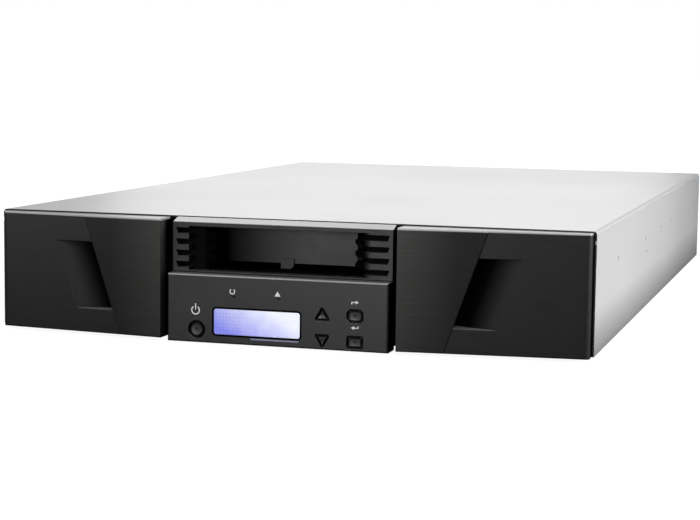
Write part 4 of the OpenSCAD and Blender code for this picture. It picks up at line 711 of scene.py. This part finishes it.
# %% Mesh builder
def skin(name, rings, material, body, hoop=False):
    """A closed skin through rings, an array of (rings, points, 3) in metres, that rides on a body.

    The first and last ring are filled, or in a hoop they are joined to each other. The volume is the
    sum over triangles of a . (b x c) / 6, and a negative one means inside out.
    """
    rings = np.asarray(rings, float)
    count, size = rings.shape[:2]
    index = np.arange(count * size).reshape(count, size)
    beside = np.roll(index, -1, axis=1)
    last = count if hoop else count - 1
    quads = np.stack([index, beside, np.roll(beside, -1, axis=0), np.roll(index, -1, axis=0)], axis=-1)
    quads = quads[:last].reshape(-1, 4)
    points = rings.reshape(-1, 3)
    a, b, c, d = (points[quads[:, i]] for i in range(4))
    volume = (np.einsum("ij,ij->", a, np.cross(b, c)) + np.einsum("ij,ij->", a, np.cross(c, d))) / 6
    for ring, way in () if hoop else ((rings[0], -1), (rings[-1], 1)):
        middle = ring.mean(axis=0)
        volume += way * np.einsum("ij,ij->", np.cross(ring, np.roll(ring, -1, axis=0)), middle[None]) / 6
    faces = quads.tolist() + ([] if hoop else [index[0, ::-1].tolist(), index[-1].tolist()])
    if volume < 0:
        faces = [face[::-1] for face in faces]
    mesh = bpy.data.meshes.new(name)
    mesh.from_pydata(points.tolist(), [], faces)
    mesh.materials.append(material)
    piece = bpy.data.objects.new(name, mesh)
    bpy.context.scene.collection.objects.link(piece)
    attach(piece, body)
    return piece


print("skins are closed and face outwards")


# %% Raised strokes
# A stroke's lower side lies this far inside the panel, so that no gap shows under it
SINK = 0.02


def stroke(line, width, thick, arc=5, hoop=False):
    """Rings of a thin raised stroke along a flat line of (n, 2) points, in millimetres (across, up).

    At each point the sideways direction is the line's own direction turned a quarter. The stroke's
    section is the upper half of a flattened ellipse: width / 2 * cos across, thick * sin high.
    """
    line = np.asarray(line, float)
    step = np.roll(line, -1, axis=0) - np.roll(line, 1, axis=0) if hoop else np.gradient(line, axis=0)
    step /= np.linalg.norm(step, axis=1)[:, None]
    side = np.stack([-step[:, 1], step[:, 0]], axis=1)
    angle = np.linspace(0, np.pi, arc)
    flat = line[:, None] + side[:, None] * (np.cos(angle) * width / 2)[None, :, None]
    height = np.broadcast_to(np.sin(angle) * thick, flat.shape[:2])
    return np.stack([flat[..., 0], height, flat[..., 1]], axis=-1)


def on_panel(rings):
    """Puts flat rings on the control panel's front, in metres: their height points away from the panel."""
    points = np.array(rings)
    points[..., 1] = PANEL_FACE - points[..., 1] + SINK
    return points * MM + np.array([0, CASE_FRONT, CASE_FOOT])


print("strokes lie on the panel at y =", PANEL_FACE, "mm")

# %% [markdown]
# ## Signs printed on the panel
# Screen printing lays down white ink about 0.05 mm thick. Five small signs stand on the panel: a broken
# ring with a bar for power, an open ring for activity, a triangle for a warning, and two bent arrows
# by the escape and enter keys. They could be part of the panel's colour, but a print has its own edge
# and gloss, so each is a thin skin. Rings and shafts are strokes along an arc or a straight leg, and
# the triangle and the arrows' heads are filled. The words beside two of the keys are left off.

# %% Lines and outlines
INK_UP = 0.07


def arc_line(centre, radius, start, end, count=41):
    """Points on an arc, from start to end in degrees, anticlockwise from the right."""
    angle = np.radians(np.linspace(start, end, count))
    return np.stack([centre[0] + radius * np.cos(angle), centre[1] + radius * np.sin(angle)], axis=1)


def straight(a, b, count=4):
    """Points on a straight line: a plus a share, from 0 to 1, of the way to b."""
    start = np.asarray(a, float)
    return start + np.linspace(0, 1, count)[:, None] * (np.asarray(b, float) - start)


def filled(corners):
    """Rings that draw an outline in towards its middle while it rises to INK_UP, and then close it."""
    corners = np.asarray(corners, float)
    middle = corners.mean(axis=0)
    shares = np.array([1.0, 0.97, 0.9, 0.05])[:, None, None]
    flat = middle + (corners - middle) * shares
    height = np.broadcast_to(np.array([0, 0.7, 1.0, 1.0])[:, None] * INK_UP, flat.shape[:2])
    return np.stack([flat[..., 0], height, flat[..., 1]], axis=-1)


def ink(name, code):
    """Screen-printed ink: matt, with a slightly uneven edge of gloss."""
    made, tree, shader = new_material(name, Base_Color=linear(code), Roughness=0.6, IOR=1.5)
    relief(tree, shader, spots(tree, 0.4), depth_mm=0.004, edge_mm=0.05)
    return made


print("ink stands", round(INK_UP - SINK, 2), "mm out of the panel")

# %% Printed signs
# White ink: matt, and brighter than anything else on the panel but the display
INK = ink("white_screen_ink", "#ffffff")
# Each line on the panel, and the stroke's width. Points are (across, up) in the case's own measures
signs = {
    "power_sign_ring": (arc_line((-60.8, 21.2), 2.9, 125, 415), 0.95),
    "power_sign_bar": (straight((-60.8, 21.6), (-60.8, 26.0)), 0.9),
    "activity_sign": (arc_line((-32.8, 35.9), 1.75, 125, 415, count=31), 0.85),
    "escape_sign_leg": (straight((56.2, 31.2), (56.2, 32.9)), 0.8),
    "escape_sign_shaft": (straight((55.9, 32.6), (59.8, 32.6)), 0.7),
    "enter_sign_leg": (straight((61.0, 14.2), (61.0, 15.9)), 0.7),
    "enter_sign_shaft": (straight((57.4, 14.5), (61.3, 14.5)), 0.7),
}
for name, (line, width) in signs.items():
    skin(name, on_panel(stroke(line, width, INK_UP)), INK, "chassis")

# The filled outlines, by their corners
heads = {
    "warning_sign": [(-0.9, 33.9), (3.5, 33.9), (1.3, 37.6)],
    "escape_sign_head": [(59.0, 31.3), (61.4, 32.6), (59.0, 33.9)],
    "enter_sign_head": [(58.1, 13.2), (58.1, 15.8), (55.7, 14.5)],
}
for name, corners in heads.items():
    skin(name, on_panel(filled(corners)), INK, "chassis")
print(len(signs) + len(heads), "printed pieces")

# %% [markdown]
# ## The window's edge
# A thin black gasket runs round the display's window, just outside it, and hides the gap between the
# clear sheet and the panel. Its line is a rounded rectangle: four quarter circles, joined by straight
# sides. Below it, the lip of the clear sheet carries a little of the display's violet: it is a plain
# strip in that colour, because a real light guide would take many more samples to render.

# %% Gasket and lip
# The gasket's line lies this far outside the window, with this corner radius and width
GASKET_OUT = 0.7
GASKET_RADIUS = 2.5
GASKET_WIDTH = 1.5
# The lip: how far below the window, how far from its left and right ends, and how wide
LIP_DROP = 2.2
LIP_LEFT = 28
LIP_RIGHT = 1
LIP_WIDTH = 1.3


def rounded(x0, x1, z0, z1, radius, arc=7):
    """Outline of a rectangle with round corners, anticlockwise from the upper right."""
    turn = np.radians(np.arange(4)[:, None] * 90 + np.linspace(0, 90, arc))
    across = np.array([x1 - radius, x0 + radius, x0 + radius, x1 - radius])[:, None] + radius * np.cos(turn)
    rise = np.array([z1 - radius, z1 - radius, z0 + radius, z0 + radius])[:, None] + radius * np.sin(turn)
    return np.stack([across, rise], axis=-1).reshape(-1, 2)


left_edge, right_edge = low.x / MM, high.x / MM
lower_edge, upper_edge = (low.z - CASE_FOOT) / MM, (high.z - CASE_FOOT) / MM
edge = rounded(left_edge - GASKET_OUT, right_edge + GASKET_OUT, lower_edge - GASKET_OUT,
               upper_edge + GASKET_OUT, GASKET_RADIUS)
skin("window_gasket", on_panel(stroke(edge, GASKET_WIDTH, INK_UP, hoop=True)), GUIDE, "chassis", hoop=True)
lip = straight((left_edge + LIP_LEFT, lower_edge - LIP_DROP),
               (right_edge - LIP_RIGHT, lower_edge - LIP_DROP), count=8)
# Painted light: a matt violet strip for the display's glow in the clear lip
LIP = ink("violet_lit_acrylic_lip", "#9494b4")
skin("window_lip", on_panel(stroke(lip, LIP_WIDTH, INK_UP)), LIP, "chassis")
print("window", round(right_edge - left_edge, 1), "x", round(upper_edge - lower_edge, 1), "mm")

# %% [markdown]
# ## Black rims on the keys
# Each key has a broad black rim on the cap's edge, so that the lighter middle stands out: a painted shade,
# for the dark gap round the cap. A mask in the key's own material could draw it, but the five outlines
# differ, so each rim is a stroke round its own cap, and rides on its key.
# The cap is dished: its front is part of a ball of 30 mm radius, 0.45 mm deep in the middle. At a
# distance d from the middle the dish is 0.45 - d * d / 60 deep, and the rim follows it.

# %% Key rims
CAP_BACK = 0.2
DISH_DEPTH = 0.45
DISH_RADIUS = 30
RIM_WIDTH = 0.8
# Half the size of each rim: the round key, the arrows, the key with cut corners, and the rounded one
ROUND_REACH = 4.35
ARROW_REACH = 4.1
ARROW_DROP = 1
CUT_HALF = (4.4, 3.2)
CUT_INNER = (3.0, 1.8)
BLOCK_HALF = (4.35, 2.95)


def closed_line(corners, steps):
    """Points along a closed line through the corners, steps on each side."""
    corners = np.asarray(corners, float)[:, None]
    share = np.arange(steps)[None, :, None] / steps
    return (corners * (1 - share) + np.roll(corners, -1, axis=0) * share).reshape(-1, 2)


arrow_turn = np.radians([90, 210, 330])
arrow_tips = np.stack([np.cos(arrow_turn), np.sin(arrow_turn)], axis=1) * ARROW_REACH - (0, ARROW_DROP)
arrow = closed_line(arrow_tips, steps=6)
(wide, tall), (wide_cut, tall_cut) = CUT_HALF, CUT_INNER
cut_corners = [(wide_cut, -tall), (wide, -tall_cut), (wide, tall_cut), (wide_cut, tall),
               (-wide_cut, tall), (-wide, tall_cut), (-wide, -tall_cut), (-wide_cut, -tall)]
block_x, block_z = BLOCK_HALF
# The middle of each key on the panel, and its rim's line round that middle
rims = {
    "power_button": ((-60, 7.3), arc_line((0, 0), ROUND_REACH, 0, 351, count=40)),
    "up_button": ((34.5, 22.8), arrow),
    "down_button": ((34.5, 4.2), arrow * (1, -1)),
    "escape_button": ((58.6, 22.8), closed_line(cut_corners, steps=3)),
    "enter_button": ((58.6, 4.2), rounded(-block_x, block_x, -block_z, block_z, radius=0.6)),
}
# Painted shade: a black stroke round each cap, for the dark gap round it
for name, (middle, line) in rims.items():
    rings = stroke(line, RIM_WIDTH, INK_UP, hoop=True)
    away = rings[..., 0] ** 2 + rings[..., 2] ** 2
    rings[..., 1] -= CAP_BACK + np.maximum(DISH_DEPTH - away / (2 * DISH_RADIUS), 0)
    skin(f"{name}_rim", on_panel(rings + (middle[0], 0, middle[1])), GUIDE, name, hoop=True)
print(len(rims), "key rims")

# %% [markdown]
# ## Floor
# The machine stands on a pale floor that runs on without an edge. Lit paper alone turns grey with the
# distance from the lamps, and would need a lamp of its own in a studio. Here the paper glows for the
# camera only, and the machine mirrors it dimmer, so that the white round it doesn't wash out the black.

# %% Floor
# Width and depth of the machine's outline on the floor, in millimetres
FOOTPRINT = (447, 736)
# Metres outside that outline at which the glow begins, has its near strength, and starts to grow on
GLOW_START = -0.008
GLOW_FOOT = 0.004
GLOW_ON = 0.02


def ground(name, half, rows=9):
    """A level sheet at z = 0: rows by rows points, from -half to half metres both ways."""
    line = np.linspace(-half, half, rows)
    x, y = np.meshgrid(line, line)
    index = np.arange(rows * rows).reshape(rows, rows)
    faces = np.stack([index[:-1, :-1], index[:-1, 1:], index[1:, 1:], index[1:, :-1]], axis=-1).reshape(-1, 4)
    mesh = bpy.data.meshes.new(name)
    mesh.from_pydata(np.stack([x, y, 0 * x], axis=-1).reshape(-1, 3).tolist(), [], faces.tolist())
    piece = bpy.data.objects.new(name, mesh)
    bpy.context.scene.collection.objects.link(piece)
    return piece


def paper_floor(name, near_glow, far):
    """White paper: the camera sees it glow, and all other rays see plain grey paper.

    With the distance outside the machine's outline, the glow grows from nothing at GLOW_START to
    near_glow at GLOW_FOOT, and from GLOW_ON to far metres it grows on to full white.
    """
    made, tree, shader = new_material(name, Base_Color=linear("#6e6e6e"), Roughness=0.9,
                                      Emission_Color=linear("#ffffff"))
    out = [add(tree, "Math", {0: distance(tree, axis), 1: side / 2 * MM}, operation="SUBTRACT")
           for axis, side in zip("XY", FOOTPRINT)]
    outside = add(tree, "Math", {0: out[0], 1: out[1]}, operation="MAXIMUM")
    near = add(tree, "MapRange", span(outside, GLOW_START, GLOW_FOOT, 0, near_glow))
    further = add(tree, "MapRange", span(outside, GLOW_ON, far, near_glow, 1))
    glow = add(tree, "Math", {0: near, 1: further}, operation="MAXIMUM")
    to_camera = add(tree, "LightPath").outputs["Is Camera Ray"]
    shown = add(tree, "Math", {0: glow, 1: to_camera}, operation="MULTIPLY")
    feed(tree, shown, shader.inputs["Emission Strength"])
    return made


floor = ground("studio_floor", half=40)
floor.data.materials.append(paper_floor("white_paper", near_glow=0.93, far=1.0))
print("floor", [round(side) for side in floor.dimensions[:2]], "m")

# %% [markdown]
# ## Light
# Black gloss and grey paint are seen by what they mirror, so each lamp is a soft box: a rectangle with
# an even glow, whose mirror image has no hard core. Point lamps or a sun would leave small, sharp spots.
# The over box hangs above the machine and lights the top. The rear over box stands behind it, high up,
# and is aimed at the upper edges of the front. The back box stands low behind the machine, where the top
# mirrors it towards the camera at a shallow angle. The side box lights the steel side from the right.
# The front and left boxes stand in front, a little above the machine, and give its black front something
# bright to mirror. The fill box, higher up at the right, softens the front's shades. The sky gives a
# little light of its own and is plain white to the camera.

# %% Sky
FILL = 0.2
sky = bpy.data.worlds.new("studio_sky")
bpy.context.scene.world = sky
sky.use_nodes = True
sky.node_tree.nodes.clear()
seen = add(sky.node_tree, "LightPath").outputs["Is Camera Ray"]
plain = add(sky.node_tree, "Background", {"Color": linear("#ffffff"), "Strength": 1.0})
soft = add(sky.node_tree, "Background", {"Color": linear("#ffffff"), "Strength": FILL})
both = add(sky.node_tree, "MixShader", {0: seen, 1: soft, 2: plain})
add(sky.node_tree, "OutputWorld", {"Surface": both})
print("sky lights with", FILL)


# %% Lamps
def soft_box(name, place_at, look_at, width, height, radiance):
    """A rectangular lamp at one point, turned to face another. Its power is radiance * pi * its area."""
    lamp = bpy.data.lights.new(name, "AREA")
    lamp.shape = "RECTANGLE"
    lamp.size = width
    lamp.size_y = height
    lamp.energy = radiance * math.pi * width * height
    box = bpy.data.objects.new(name, lamp)
    aim = Vector(look_at) - Vector(place_at)
    box.matrix_world = Matrix.Translation(place_at) @ aim.to_track_quat("-Z", "Y").to_matrix().to_4x4()
    box.visible_camera = False
    bpy.context.scene.collection.objects.link(box)


# Where each box stands, what it faces, its width and height (all in metres), and its radiance
soft_boxes = {
    "over_box": ((-0.3, -0.1, 2.5), (0, 0, 0), 3.2, 3.2, 0.95),
    "rear_over_box": ((-0.97, 2.5, 2.2), (0, -0.36, 0.09), 1.6, 1.0, 3.0),
    "back_box": ((-1.0, 3.6, 0.6), (0, 0, 0.1), 1.7, 1.2, 1.45),
    "side_box": ((0.95, -0.2, 0.3), (0.22, -0.2, 0.07), 0.5, 0.34, 18),
    "front_box": ((-0.4, -2.4, 0.31), (0, -0.35, 0.05), 0.45, 0.6, 11),
    "left_box": ((-1.85, -2.4, 0.31), (-0.2, -0.35, 0.05), 0.45, 0.6, 4.5),
    "fill_box": ((0.9, -2.0, 1.2), (0, -0.35, 0.05), 0.9, 0.9, 3.5),
}
for name, settings in soft_boxes.items():
    soft_box(name, *settings)
print(len(soft_boxes), "soft boxes")
